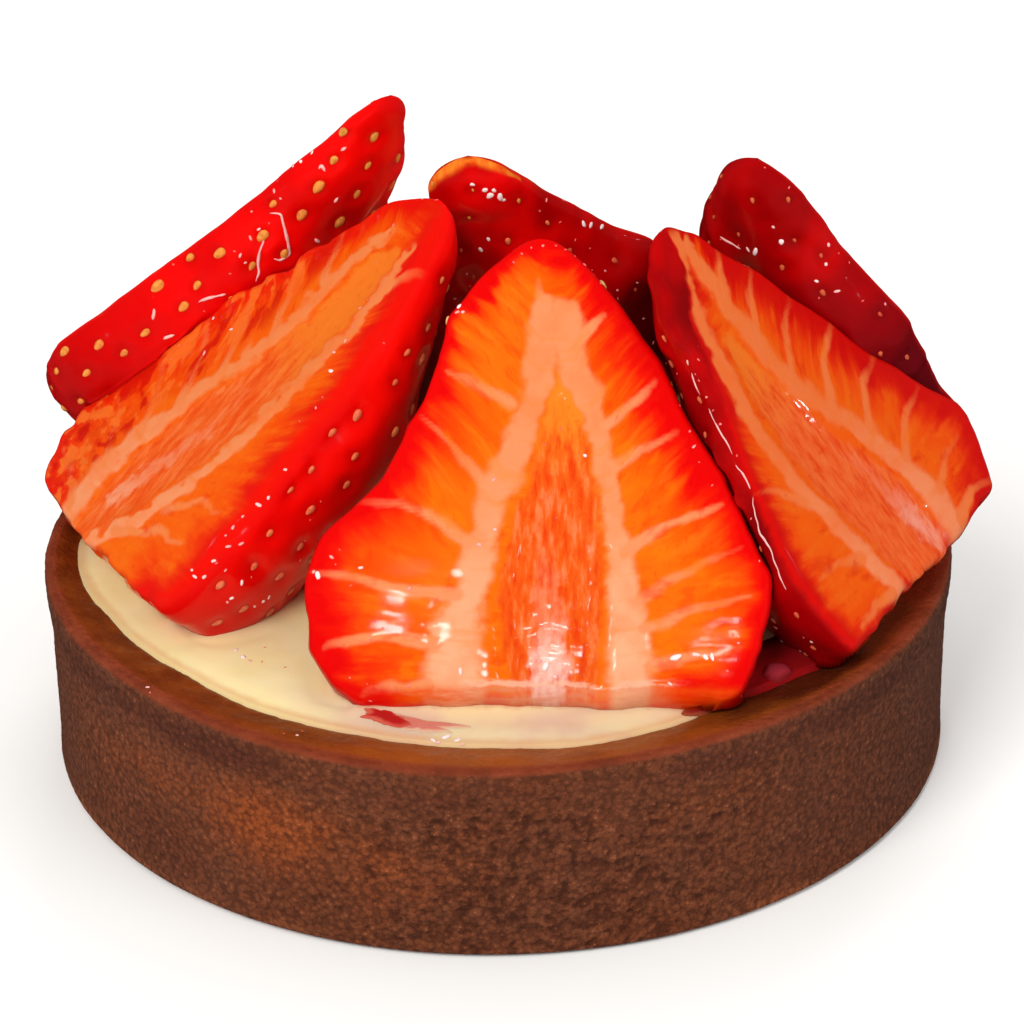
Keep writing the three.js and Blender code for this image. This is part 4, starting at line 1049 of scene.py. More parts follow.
def crust_material():
    m = Mat("cocoa_shortcrust")
    lin = lambda r, g, b: tuple(k * q for k, q in zip((1.16, 1.09, 1.05), display(r, g, b)[:3])) + (1.0,)
    _, relief, rimm, inner = m.attr("relief", True)
    _, warm, dark, low = m.attr("tint", True)
    _, arris, grey, close = m.attr("edge", True)
    p = m.place()
    broad = m.noise(p, 0.10, 3.0, 0.55)
    mid = m.noise(p, 0.38, 3.0, 0.55)
    fine = m.noise(p, 1.7, 4.0, 0.65)
    grit = m.noise(p, 4.2, 3.0, 0.6)
    grain = m.voronoi(p, 1.9)
    base = m.ramp(fine, [(0.25, lin(78, 39, 21)), (0.5, lin(98, 52, 30)), (0.75, lin(122, 69, 43))])
    base = m.mix(m.range(mid, 0.35, 0.7, 0.0, 0.45), base, lin(100, 49, 26))
    base = m.mix(m.range(broad, 0.35, 0.7, 0.0, 0.4), base, lin(97, 57, 40))
    w = m.math("MULTIPLY_ADD", m.math("SUBTRACT", mid, 0.5), 0.5, warm)
    base = m.mix(m.range(w, 0.05, 1.0, 0.0, 0.8), base, m.ramp(fine, [(0.3, lin(112, 48, 16)), (0.7, lin(152, 76, 30))]))
    # painted shade from the dark mask
    base = m.mix(m.range(dark, 0.1, 0.9, 0.0, 0.62), base, lin(72, 32, 22))
    # painted light on the foot of the wall
    base = m.mix(m.range(low, 0.15, 0.9, 0.0, 0.6), base, lin(142, 78, 46))
    # painted shade on the right side of the wall
    base = m.mix(m.math("MULTIPLY", grey, 0.35), base, lin(82, 48, 32))
    # painted shade: crevices darker; painted light: tops of the grains a little lighter
    h = m.math("MULTIPLY_ADD", m.math("SUBTRACT", grit, 0.5), 0.5, relief)
    base = m.mix(m.range(h, 0.42, 0.06, 0.0, 0.6), base, lin(52, 23, 13))
    base = m.mix(m.range(h, 0.62, 1.0, 0.0, 0.5), base, lin(162, 98, 68))
    # separate grains of about half a millimetre, with painted shade between them, painted light on their middles and
    # painted glints on scattered specks
    base = m.mix(m.range(grain, 0.44, 0.66, 0.0, 0.42), base, lin(50, 22, 12))
    base = m.mix(m.math("MULTIPLY", m.range(grain, 0.24, 0.08), m.range(fine, 0.48, 0.66, 0.0, 0.5)), base, lin(176, 112, 80))
    base = m.mix(m.math("MULTIPLY", m.range(grit, 0.66, 0.82), 0.35), base, lin(186, 128, 96))
    # rim: reddish outer line, then a smoother olive-brown slope soaked by the glaze
    rim_col = m.ramp(mid, [(0.3, lin(92, 38, 20)), (0.5, lin(108, 46, 24)), (0.72, lin(124, 56, 32))])
    soaked = m.ramp(m.noise(p, 0.34, 3.0, 0.6), [(0.3, lin(88, 36, 6)), (0.52, lin(108, 50, 10)), (0.75, lin(128, 64, 18))])
    soaked = m.mix(m.math("MULTIPLY", warm, 0.7), soaked, lin(152, 76, 16))
    soaked = m.mix(m.math("MULTIPLY", grey, 0.75), soaked, m.ramp(mid, [(0.3, lin(98, 36, 18)), (0.7, lin(134, 56, 28))]))
    soaked = m.mix(m.range(close, 0.86, 1.0, 0.0, 0.5), soaked, lin(92, 56, 14))
    # painted shade on the rim's slope between the two front halves
    soaked = m.mix(m.range(dark, 0.1, 0.8, 0.0, 0.85), soaked, lin(62, 20, 8))
    rim_col = m.mix(inner, rim_col, soaked)
    # painted glints: light specks scattered over the rim
    rim_col = m.mix(m.range(grit, 0.6, 0.8, 0.0, 0.35), rim_col, lin(196, 120, 80))
    col = m.mix(rimm, base, rim_col)
    # painted highlight: a lighter line along the rim's outer edge
    col = m.mix(m.math("MULTIPLY", arris, m.range(fine, 0.36, 0.62, 0.1, 0.75)), col, lin(146, 66, 40))
    dry = m.range(fine, 0.3, 0.7, 0.7, 0.9, "LINEAR")
    rough = m.mix(rimm, dry, m.mix(inner, m.range(fine, 0.3, 0.7, 0.5, 0.65, "LINEAR"), m.range(fine, 0.3, 0.7, 0.42, 0.58, "LINEAR")))
    hh = m.math("MULTIPLY_ADD", fine, 0.9, m.math("MULTIPLY_ADD", grain, -0.7, m.math("MULTIPLY", grit, 0.5)))
    strength = m.mix(rimm, (0.85, 0.85, 0.85, 1), (0.35, 0.35, 0.35, 1))
    nrm = m.bump(hh, strength, 0.00034)
    coat = m.math("MULTIPLY", rimm, m.range(inner, 0.0, 1.0, 0.05, 0.25))
    m.set(color=col, rough=rough, normal=nrm, ior=1.4, spec=0.25, coat=coat, coat_rough=0.22, coat_ior=1.33)
    return m.m


# ---------------------------------------------------------------------------------------------
# cream
# ---------------------------------------------------------------------------------------------
def cream_height(x, y):
    """Height of the cream's surface and the distance to the nearest berry, mm."""
    r, a = np.hypot(x, y), np.arctan2(y, x)
    z = CREAM_LEVEL + cream_wave(a, r) + rim_height(a) * np.clip(r / 36.0, 0, 1.2) ** 6 * 0.9
    z = z + 0.10 * fbm(stack(x * 0.11, y * 0.11, 1.0), 2, 5) + 0.05 * fbm(stack(x * 0.35, y * 0.35, 2.0), 2, 6)
    # a soft swirl left by the spreading knife
    z = z + 0.10 * np.sin(a * 3 + r * 0.35) * smooth(r, 20, 30) * smooth(r, 36, 33)
    Q = stack(x, y, z)
    d = np.full(np.shape(x), 99.0)
    for name in ORDER:
        d = np.minimum(d, clearance(name, Q))
    z = z + 0.55 * np.exp(-np.clip(d, 0, 9) / 0.55) - 0.10 * bell(d - 1.7, 0.9)
    # down to the foot of the rim's inner slope
    past = r - rim_inner(a)
    z = z + (16.97 + rim_height(a) - z) * smooth(past, -2.4, -0.1) - 0.9 * smooth(past, 0.0, 0.6)
    return z, d


def build_cream():
    nth = 420
    th = np.arange(nth) / nth * TAU - math.pi
    rc = rim_inner(th)[None]
    under = [(12, 3.7), (26, 3.7), (34.3, 3.7), (35.3, 4.9), (35.5, 10), (35.3, 14.5)]
    inner_r = np.linspace(1.2, 22, 20)[:, None] * np.ones(nth)
    k = np.linspace(0.0, 1.0, 44)[1:, None] ** 0.9
    outer_r = 22 + (rc + 0.75 - 22) * k
    tops = np.concatenate([inner_r, outer_r])[::-1]
    R = np.concatenate([np.array([q[0] for q in under])[:, None] * np.ones(nth), tops])
    R[:len(under)] = np.minimum(R[:len(under)], rc - 0.2)
    top = np.zeros(len(R), bool)
    top[len(under):] = True
    X, Y = R * np.cos(th), R * np.sin(th)
    z, d = cream_height(X, Y)
    Z = z.copy()
    for i, (_, zz) in enumerate(under):
        Z[i] = zz
    d[:len(under)] = 9
    P = stack(X, Y, Z)
    zc, dc = cream_height(np.zeros(1), np.zeros(1))
    # the second value marks the cream's last 2.4 mm before the rim, used for painted shade
    a1 = stack(np.clip(d, 0, 9) / 9, smooth(R - rc, -2.4, 0.1), smooth(np.abs(wrap(th + math.radians(86)))[None] * np.ones_like(R), 0.75, 0.35) * smooth(R, 28, 31))
    return wrapped_grid("cream", P, (0, 0, 3.7), (0, 0, float(zc[0])), {"cream": (a1, (1, 0, 0), (1, 0, 0))}, rows=np.concatenate([np.linspace(0.02, 0.06, len(under)), np.linspace(0.07, 0.98, len(tops))]))


def cream_material():
    m = Mat("pastry_cream")
    _, near, edge, front = m.attr("cream", True)
    p = m.place()
    n1 = m.noise(p, 0.16, 3.0, 0.5)
    n2 = m.noise(p, 0.8, 3.0, 0.55)
    col = m.ramp(n1, [(0.3, lin(240, 229, 166)), (0.5, lin(243, 234, 176)), (0.7, lin(247, 240, 190))])
    # near the berries: warmer and darker within about 2 mm, reddest at the contact; partly a stain of juice, partly
    # painted shade along the berries' feet
    stain_and_shade = m.math("MULTIPLY_ADD", m.math("SUBTRACT", n2, 0.5), 0.08, near)
    col = m.mix(m.range(stain_and_shade, 0.24, 0.04, 0.0, 0.4), col, lin(240, 194, 148))
    col = m.mix(m.math("MULTIPLY", front, m.range(n1, 0.35, 0.6, 0.5, 0.85)), col, lin(212, 170, 150))
    col = m.mix(m.range(stain_and_shade, 0.075, 0.0, 0.0, 0.75), col, lin(206, 96, 60))
    # painted shade: darker tan where the cream meets the rim
    col = m.mix(m.range(m.math("MULTIPLY_ADD", m.math("SUBTRACT", n2, 0.5), 0.3, edge), 0.5, 1.0, 0.0, 0.5), col, lin(214, 158, 98))
    m.set(color=col, rough=m.range(n2, 0.3, 0.7, 0.3, 0.42, "LINEAR"), normal=m.bump(n2, 0.12, 0.0001), coat=1.0, coat_rough=0.05, coat_ior=1.4, ior=1.4, sss=0.35, sss_radius=(0.0024, 0.0016, 0.0009), sss_scale=0.6)
    return m.m


# ---------------------------------------------------------------------------------------------
# seeds
# ---------------------------------------------------------------------------------------------
def build_seeds():
    nu, nv = 8, 6
    ring = []
    for i in range(1, nv):
        t = math.pi * i / nv
        for j in range(nu):
            p = TAU * j / nu
            w = math.sin(t) * (1 + 0.22 * math.cos(t))       # teardrop: blunt end towards the stalk
            ring.append((math.cos(t), w * math.cos(p), w * math.sin(p)))
    tmpl = np.array([(1, 0, 0)] + ring + [(-1, 0, 0)], float)
    tri, quad = [], []
    for j in range(nu):
        k = (j + 1) % nu
        tri.append((0, 1 + j, 1 + k))
        tri.append((len(tmpl) - 1, 1 + (nv - 2) * nu + k, 1 + (nv - 2) * nu + j))
        for i in range(nv - 2):
            quad.append((1 + i * nu + j, 1 + (i + 1) * nu + j, 1 + (i + 1) * nu + k, 1 + i * nu + k))
    tri, quad = np.array(tri), np.array(quad)
    verts, tris, quads, tone = [], [], [], []
    if volume(tmpl, quad, tri) < 0:
        tri, quad = tri[:, ::-1], quad[:, ::-1]
    gold = {"front": 0.7, "front_left": 0.42, "front_right": 0.3, "back_left": 0.80, "back_right": 0.24, "back": 0.2}
    size = {"front": 0.78, "front_left": 0.78, "front_right": 0.56, "back_left": 1.02, "back_right": 0.5, "back": 0.5}
    for i, (name, at, nn, al, s, rnd, stands) in enumerate(seed_places):
        side = np.cross(nn, al)
        yaw = (rnd[0] - 0.5) * 0.5
        a = al * math.cos(yaw) + side * math.sin(yaw)
        c = np.cross(nn, a)
        k = (0.72 + 0.5 * rnd[1]) * size[name]
        k *= 1.0 - 0.25 * float(smooth(s, 0.75, 1.0))
        sx, sy, sz = 0.62 * k, 0.40 * k * (0.9 + 0.25 * rnd[2]), 0.24 * k
        v = at + nn * 0.03 + tmpl[:, :1] * sx * a + tmpl[:, 1:2] * sy * c + tmpl[:, 2:3] * sz * nn
        # right-handed: a, c, nn
        base = len(tmpl) * i
        verts.append(v)
        tris.append(tri + base)
        quads.append(quad + base)
        g = gold[name] + 0.2 * (rnd[3] - 0.5)
        if name == "back":
            g += 0.5 * float(smooth(s, 0.76, 0.88))
        if stands:
            g = 1.3
        tone.append(np.tile([g, float(smooth(s, 0.7, 0.95)), rnd[2]], (len(tmpl), 1)))
    v, q, t = np.concatenate(verts), np.concatenate(quads), np.concatenate(tris)
    if volume(v, q, t) < 0:
        q, t = q[:, ::-1], t[:, ::-1]
    return add_mesh("strawberry_seeds", v, q, t, {"seed": np.concatenate(tone)})


def seed_material():
    m = Mat("strawberry_seed")
    _, gold, tip, rnd = m.attr("seed", True)
    p = m.place()
    n = m.noise(p, 2.5, 2.0)
    col = m.ramp(gold, [(0.05, lin(196, 40, 26)), (0.4, lin(232, 112, 74)), (0.8, lin(236, 150, 58)), (0.93, lin(238, 158, 66)), (1.0, lin(250, 206, 150))])
    col = m.mix(m.math("MULTIPLY", m.math("MULTIPLY", tip, gold), 0.6), col, lin(204, 170, 70))
    col = m.mix(m.range(n, 0.35, 0.7, 0.0, 0.5), col, lin(176, 70, 22))
    m.set(color=col, rough=m.range(n, 0.3, 0.7, 0.35, 0.5, "LINEAR"), normal=m.bump(n, 0.4, 0.00008), coat=1.0, coat_rough=0.04, ior=1.45)
    return m.m


# ---------------------------------------------------------------------------------------------
# drops and threads of glaze, coloured pale as painted glints
# ---------------------------------------------------------------------------------------------
surfaces = {}           # piece -> points and outward normals of its mesh, mm


def keep_surface(name, ob):
    me = ob.data
    co = np.zeros(len(me.vertices) * 3, np.float32)
    no = np.zeros(len(me.vertices) * 3, np.float32)
    me.vertices.foreach_get("co", co)
    me.vertex_normals.foreach_get("vector", no)
    surfaces[name] = (co.reshape(-1, 3).astype(float) / MM, no.reshape(-1, 3).astype(float))


DROPS = {    # places on each piece and the drop's radius, mm; drops of glaze coloured pale as painted glints
    "back": ((-1.6, 3.2, 50.5, 0.14), (-0.5, 3.2, 49.9, 0.18), (-0.1, 3.4, 49.4, 0.23), (0.2, 3.3, 49.9, 0.16), (0.7, 3.6, 49.1, 0.21), (1.0, 3.9, 48.7, 0.14), (8.0, 8.2, 44.6, 0.18), (8.6, 8.6, 44.3, 0.14), (9.6, 9.7, 43.7, 0.16), (4.2, 5.8, 46.7, 0.09), (-1.1, 5.4, 43.5, 0.14), (-0.4, 5.2, 44.6, 0.14), (-2.3, 6.2, 40.9, 0.12), (10.0, 8.6, 39.7, 0.12), (11.0, 8.5, 38.1, 0.12), (15.2, 13.4, 34.7, 0.14), (13.5, 11.8, 33.8, 0.12), (12.9, 9.7, 38.1, 0.12), (4.7, 6.3, 47.6, 0.12), (5.9, 6.8, 45.3, 0.09), (7.3, 7.4, 43.4, 0.09), (8.6, 8.2, 42.3, 0.09), (14.6, 12.9, 30.6, 0.12), (15.8, 14.6, 28.1, 0.09), (-3.4, 7.4, 38.0, 0.12), (-2.1, 6.6, 39.3, 0.09), (8.8, 8.1, 40.0, 0.09), (11.2, 8.7, 37.0, 0.09), (12.8, 11.3, 33.3, 0.09),),
    "back_right": ((24.6, -1.7, 46.7, 0.23), (24.0, -1.8, 48.0, 0.14), (28.8, -1.3, 46.0, 0.14), (28.5, -1.2, 44.3, 0.14), (29.7, -0.7, 45.1, 0.09), (27.7, -1.5, 42.9, 0.14), (29.6, -1.6, 41.8, 0.14), (28.1, -1.5, 41.3, 0.09), (30.7, -0.6, 44.2, 0.09), (31.8, -1.0, 40.9, 0.09), (33.9, -0.2, 39.9, 0.12), (25.3, -2.2, 51.8, 0.09), (23.2, -1.3, 53.2, 0.09), (22.5, -0.5, 45.4, 0.23), (21.9, 0.0, 45.3, 0.14), (21.2, 0.7, 45.3, 0.09), (19.7, 2.3, 45.4, 0.09),),
    "front_right": ((16.8, -15.3, 40.8, 0.09), (17.0, -15.8, 40.3, 0.09), (16.9, -14.9, 41.7, 0.09), (17.5, -16.4, 39.1, 0.12), (18.0, -16.9, 38.1, 0.09), (18.6, -17.6, 37.2, 0.12), (19.1, -18.5, 36.1, 0.09), (19.7, -19.3, 35.1, 0.09), (20.5, -20.4, 33.5, 0.09), (15.5, -13.2, 39.9, 0.09), (23.2, -21.3, 19.9, 0.14), (23.9, -19.7, 17.7, 0.16), (25.9, -24.1, 20.0, 0.14), (25.3, -21.1, 17.4, 0.14), (25.3, -23.9, 20.3, 0.09), (21.1, -21.6, 30.3, 0.09),),
    "front": ((15.4, -14.7, 37.6, 0.09), (16.2, -16.3, 36.0, 0.12), (16.5, -17.3, 34.9, 0.12), (16.9, -18.1, 33.9, 0.09), (17.9, -19.3, 32.5, 0.09), (21.6, -23.4, 27.5, 0.09), (19.8, -29.3, 17.6, 0.09), (-2.8, -8.4, 44.2, 0.21), (-2.5, -8.9, 43.9, 0.14), (-3.0, -8.9, 43.8, 0.14), (1.8, -6.5, 47.2, 0.09), (2.5, -6.1, 47.8, 0.09), (3.3, -5.8, 48.2, 0.09), (4.3, -5.7, 48.4, 0.12), (5.4, -5.8, 48.3, 0.09), (6.2, -6.0, 48.0, 0.09), (7.0, -6.2, 47.6, 0.09), (7.7, -6.6, 47.0, 0.12), (9.0, -7.8, 45.8, 0.09), (-13.8, -21.3, 27.2, 0.14), (-13.3, -21.7, 26.7, 0.09), (-13.0, -20.8, 27.9, 0.09), (-12.0, -22.9, 25.4, 0.09), (-11.2, -22.0, 26.6, 0.14), (-14.8, -22.2, 26.0, 0.23), (-15.3, -21.9, 26.3, 0.14), (-12.3, -27.6, 19.4, 0.09), (-10.9, -28.1, 18.9, 0.09), (-10.5, -28.7, 17.8, 0.09), (-7.2, -23.3, 25.3, 0.14), (-10.2, -24.8, 23.2, 0.09), (-9.6, -25.2, 22.7, 0.09), (-10.6, -25.8, 21.9, 0.09), (18.5, -26.6, 23.4, 0.09), (19.2, -27.2, 22.7, 0.09), (19.6, -27.8, 22.0, 0.12), (19.3, -28.6, 21.0, 0.09), (18.7, -29.2, 20.2, 0.09), (20.0, -26.6, 23.6, 0.09), (17.6, -25.9, 24.2, 0.09), (-3.2, -27.9, 19.9, 0.18), (-7.3, -28.3, 18.9, 0.12), (4.0, -27.9, 20.2, 0.28), (3.4, -27.5, 20.7, 0.14), (4.7, -28.4, 19.7, 0.14), (-0.1, -20.7, 29.3, 0.14), (-1.4, -21.4, 28.2, 0.14), (-0.3, -18.0, 32.6, 0.12), (7.4, -17.2, 34.1, 0.16), (4.1, -16.4, 34.9, 0.09), (5.4, -15.6, 35.9, 0.09), (5.1, -20.3, 29.9, 0.09), (14.1, -29.5, 19.3, 0.14), (14.4, -28.1, 21.1, 0.28), (16.2, -28.1, 21.3, 0.18), (16.9, -28.2, 21.2, 0.23), (17.5, -28.4, 21.1, 0.18),),
    "cream": ((25.1, -22.6, 16.9, 0.12), (-21.7, -19.9, 17.3, 0.23), (-22.2, -18.9, 17.4, 0.18), (-21.2, -20.6, 17.3, 0.14), (-20.1, -20.9, 17.3, 0.09), (-18.0, -22.0, 17.3, 0.09), (-19.8, -18.5, 17.3, 0.09), (-5.5, -32.8, 16.8, 0.18), (-4.5, -32.5, 16.8, 0.23), (-3.7, -33.0, 16.7, 0.18), (-3.1, -33.5, 16.7, 0.14), (-5.0, -33.4, 16.7, 0.14),),
    "front_left": ((-23.3, 5.4, 36.2, 0.14), (-25.0, 8.5, 36.0, 0.14), (-25.6, 5.2, 34.2, 0.14), (-28.1, 8.5, 33.4, 0.09), (-28.9, 7.5, 32.4, 0.09), (-12.6, -6.4, 40.3, 0.14), (-13.6, -6.7, 39.4, 0.14), (-14.6, -6.6, 38.6, 0.09), (-12.0, -5.6, 41.1, 0.09), (-11.4, -4.0, 42.2, 0.12), (-9.9, -0.3, 44.8, 0.09), (-9.4, 1.0, 45.9, 0.09), (-8.5, 2.4, 47.1, 0.12), (-9.2, -8.5, 40.6, 0.09), (-10.7, -3.8, 42.8, 0.09), (-13.9, -8.6, 38.4, 0.18), (-16.4, -11.3, 35.2, 0.09), (-15.0, -11.4, 36.3, 0.12), (-14.5, -10.8, 37.0, 0.09), (-17.6, -14.5, 32.1, 0.14), (-19.1, -15.7, 30.1, 0.14), (-20.1, -16.1, 29.6, 0.16), (-21.2, -16.5, 28.9, 0.12), (-22.1, -16.8, 28.1, 0.14), (-22.7, -17.1, 27.4, 0.12), (-21.6, -17.3, 27.0, 0.14), (-22.4, -17.6, 26.4, 0.14), (-23.8, -18.3, 25.7, 0.14), (-23.3, -18.4, 25.2, 0.09), (-22.9, -18.4, 24.6, 0.12), (-24.6, -18.8, 24.5, 0.16), (-21.5, -17.5, 23.1, 0.18), (-20.9, -16.9, 23.2, 0.09), (-22.4, -17.8, 21.8, 0.18), (-22.9, -18.0, 21.4, 0.14), (-20.7, -15.9, 20.0, 0.14), (-20.0, -15.6, 20.3, 0.18), (-19.5, -15.0, 20.4, 0.14), (-16.9, -13.6, 22.9, 0.09), (-16.3, -13.8, 25.1, 0.09), (-15.8, -14.0, 27.1, 0.09), (-14.8, -13.5, 28.7, 0.09), (-25.6, -18.3, 24.8, 0.14), (-25.3, -18.8, 24.4, 0.14),),
    "back_left": ((-25.9, 9.2, 36.3, 0.09), (-22.4, 9.6, 41.6, 0.14), (-21.9, 9.7, 40.8, 0.14), (-21.5, 9.7, 43.0, 0.14), (-23.4, 9.5, 39.7, 0.09), (-22.8, 9.7, 42.0, 0.09), (-20.7, 9.8, 43.9, 0.14), (-20.4, 9.9, 42.9, 0.09), (-19.6, 9.5, 44.7, 0.09), (-16.7, 9.8, 50.4, 0.18), (-17.5, 10.3, 49.6, 0.14), (-16.0, 9.9, 51.3, 0.14), (-21.2, 10.1, 45.5, 0.12), (-19.1, 10.0, 47.5, 0.14), (-18.5, 9.6, 47.0, 0.12), (-18.8, 10.3, 48.3, 0.09), (-30.1, 10.5, 38.1, 0.09), (-28.4, 10.9, 40.4, 0.09),),
    "crust": ((-29.0, -26.6, 18.2, 0.14), (-28.8, -27.3, 18.2, 0.09), (-17.5, -33.5, 17.5, 0.09), (-16.5, -33.3, 17.3, 0.14), (-16.0, -32.1, 16.8, 0.09),),
}
THREADS = {  # thin ridges of glaze over the skins, pale as painted highlights
    "back_left": (((-19.6, 9.8, 45.4), (-18.6, 9.5, 45.5), (-18.4, 9.5, 44.3), (-18.2, 9.7, 43.0), (-18.0, 10.4, 41.2), (-18.9, 10.2, 40.7), (-19.4, 9.9, 41.1)), ((-20.2, 9.9, 42.9), (-20.7, 9.6, 41.8), (-20.9, 9.9, 40.5), (-20.8, 9.8, 39.7), (-21.2, 9.7, 38.9)), ((-26.3, 9.3, 37.3), (-25.1, 9.3, 37.7), (-23.8, 9.5, 37.9)), ((-15.1, 8.8, 49.8), (-14.8, 8.9, 50.3), (-14.5, 8.9, 49.6)), ((-13.1, 8.5, 51.3), (-12.5, 8.5, 51.8)), ((-15.8, 10.6, 42.6), (-15.4, 11.0, 42.0)), ((-29.7, 8.9, 33.8), (-28.6, 8.9, 34.3)), ((-30.5, 9.3, 35.5), (-30.3, 9.5, 36.6)), ((-13.9, 9.9, 46.3), (-13.5, 9.8, 46.8)),),
    "front_right": (((16.6, -15.0, 40.7), (16.8, -15.6, 39.8), (17.1, -15.8, 39.0)), ((17.7, -16.6, 38.1), (18.0, -17.1, 37.4), (18.4, -17.6, 36.8), (18.9, -18.3, 36.2), (19.3, -18.8, 35.7), (19.6, -19.2, 35.1)), ((19.8, -19.6, 34.4), (20.3, -20.2, 33.8), (20.7, -20.6, 33.3), (20.9, -20.9, 32.7)), ((21.1, -21.3, 32.1), (21.2, -21.5, 31.3), (21.4, -21.9, 30.4), (21.7, -22.4, 29.3), (22.1, -22.9, 28.9), (22.5, -23.4, 28.4), (22.8, -23.7, 27.6), (23.2, -24.1, 26.4), (23.8, -24.6, 25.2)), ((16.3, -14.1, 42.3), (16.4, -14.6, 41.4)),),
    "back_right": (((19.7, 2.3, 45.6), (20.3, 1.5, 45.3), (21.3, 0.6, 45.1)),),
}


def ball(nu, nv):
    pts = [(1, 0, 0)] + [(math.cos(math.pi * i / nv), math.sin(math.pi * i / nv) * math.cos(TAU * j / nu), math.sin(math.pi * i / nv) * math.sin(TAU * j / nu)) for i in range(1, nv) for j in range(nu)] + [(-1, 0, 0)]
    tri, quad = [], []
    for j in range(nu):
        k = (j + 1) % nu
        tri += [(0, 1 + j, 1 + k), (len(pts) - 1, 1 + (nv - 2) * nu + k, 1 + (nv - 2) * nu + j)]
        quad += [(1 + i * nu + j, 1 + (i + 1) * nu + j, 1 + (i + 1) * nu + k, 1 + i * nu + k) for i in range(nv - 2)]
    return np.array(pts, float), np.array(quad), np.array(tri)


def build_glaze():
    rng = np.random.default_rng(77)
    pts, quad, tri = ball(9, 6)
    if volume(pts, quad, tri) < 0:
        quad, tri = quad[:, ::-1], tri[:, ::-1]
    verts, quads, tris, tone = [], [], [], []
    count = 0

    def close(v, q, t, k):
        nonlocal count
        if volume(v, q, t) < 0:
            q, t = q[:, ::-1], t[:, ::-1]
        verts.append(v)
        quads.append(q + count)
        tris.append(t + count)
        tone.append(np.full(len(v), k))
        count += len(v)

    def drop(at, n, r, k):
        a = np.cross(n, rng.normal(size=3))
        a /= np.linalg.norm(a)
        c = np.cross(n, a)
        long = 1.0 + 0.9 * rng.random()
        lump = 1 + 0.22 * noise(pts * 1.7 + rng.random(3) * 9, 3)[:, None]
        v = at + n * 0.05 * r + lump * (pts[:, :1] * r * long * a + pts[:, 1:2] * r * 0.9 * c + pts[:, 2:3] * r * 0.5 * n)
        close(v, quad, tri, k)

    for name, rows in DROPS.items():
        P, N = surfaces[name]
        for x, y, z, r in rows:
            i = int(np.argmin(((P - (x, y, z)) ** 2).sum(1)))
            r *= {"back": 1.3, "back_right": 1.1}.get(name, 1.0) if r > 0.13 else 0.95
            drop(P[i], N[i], r, float(np.interp(r, [0.08, 0.13, 0.2], [0.1, 0.45, 0.9])) + 0.25 * rng.random())
    # finer ones, scattered over skins and cuts
    for name in ORDER:
        P, N = surfaces[name]
        for i in rng.integers(0, len(P), 46):
            if P[i, 2] > 18.5 and N[i, 2] > -0.3 and N[i, 1] > -0.1:
                drop(P[i], N[i], 0.07 + 0.07 * rng.random(), 0.1 + 0.5 * rng.random())
    for name, lines in THREADS.items():
        P, N = surfaces[name]
        for line in lines:
            line = np.array(line, float)
            seg = np.linalg.norm(np.diff(line, axis=0), axis=1)
            at = np.concatenate([[0], np.cumsum(seg)])
            m = max(4, int(at[-1] / 0.16))
            t = np.linspace(0, at[-1], m)
            mid = np.stack([np.interp(t, at, line[:, k]) for k in range(3)], -1)
            near = [int(np.argmin(((P - q) ** 2).sum(1))) for q in mid]
            nn = N[near]
            ctr = P[near] + 0.5 * ((mid - P[near]) - np.einsum("ij,ij->i", mid - P[near], nn)[:, None] * nn)
            # smooth the snapped line a little
            for _ in range(3):
                ctr[1:-1] = 0.25 * ctr[:-2] + 0.5 * ctr[1:-1] + 0.25 * ctr[2:]
            tan = np.gradient(ctr, axis=0)
            tan /= np.maximum(np.linalg.norm(tan, axis=1, keepdims=True), 1e-9)
            side = np.cross(nn, tan)
            side /= np.maximum(np.linalg.norm(side, axis=1, keepdims=True), 1e-9)
            r = {"back_left": 0.19, "back_right": 0.16}.get(name, 0.11) * (0.75 + 0.55 * noise(stack(t * 1.7, 0.5 + len(line), 0.5), 9)) * np.sqrt(np.clip(1 - (2 * t / at[-1] - 1) ** 4, 0.02, 1))
            th = np.arange(6) / 6 * TAU
            ring = ctr[:, None] + nn[:, None] * 0.02 + r[:, None, None] * (np.cos(th)[None, :, None] * side[:, None] + 0.7 * np.sin(th)[None, :, None] * nn[:, None])
            idx = np.arange(m * 6).reshape(m, 6)
            nx = np.roll(idx, -1, 1)
            q = np.stack([idx[:-1], nx[:-1], nx[1:], idx[1:]], -1).reshape(-1, 4)
            v = np.concatenate([ring.reshape(-1, 3), ctr[:1], ctr[-1:]])
            tt = np.concatenate([np.stack([np.full(6, m * 6), nx[0], idx[0]], -1), np.stack([np.full(6, m * 6 + 1), idx[-1], nx[-1]], -1)])
            close(v, q, tt, 0.62)
    return add_mesh("glaze_drops_painted_glints", np.concatenate(verts), np.concatenate(quads), np.concatenate(tris), {"tone": np.concatenate(tone)})


def glaze_material():
    m = Mat("glaze_painted_glints")
    tone = m.attr("tone")
    p = m.place()
    n = m.noise(p, 3.0, 2.0)
    # pale pink to near white: painted glints on the glaze, whiter on the bigger drops
    col = m.mix(m.range(m.math("MULTIPLY_ADD", m.math("SUBTRACT", n, 0.5), 0.3, tone), 0.2, 1.0), lin(236, 96, 88), lin(250, 226, 222))
    m.set(color=col, rough=m.range(n, 0.3, 0.7, 0.12, 0.22, "LINEAR"), normal=m.bump(n, 0.1, 0.00005), coat=1.0, coat_rough=0.03, ior=1.42)
    return m.m


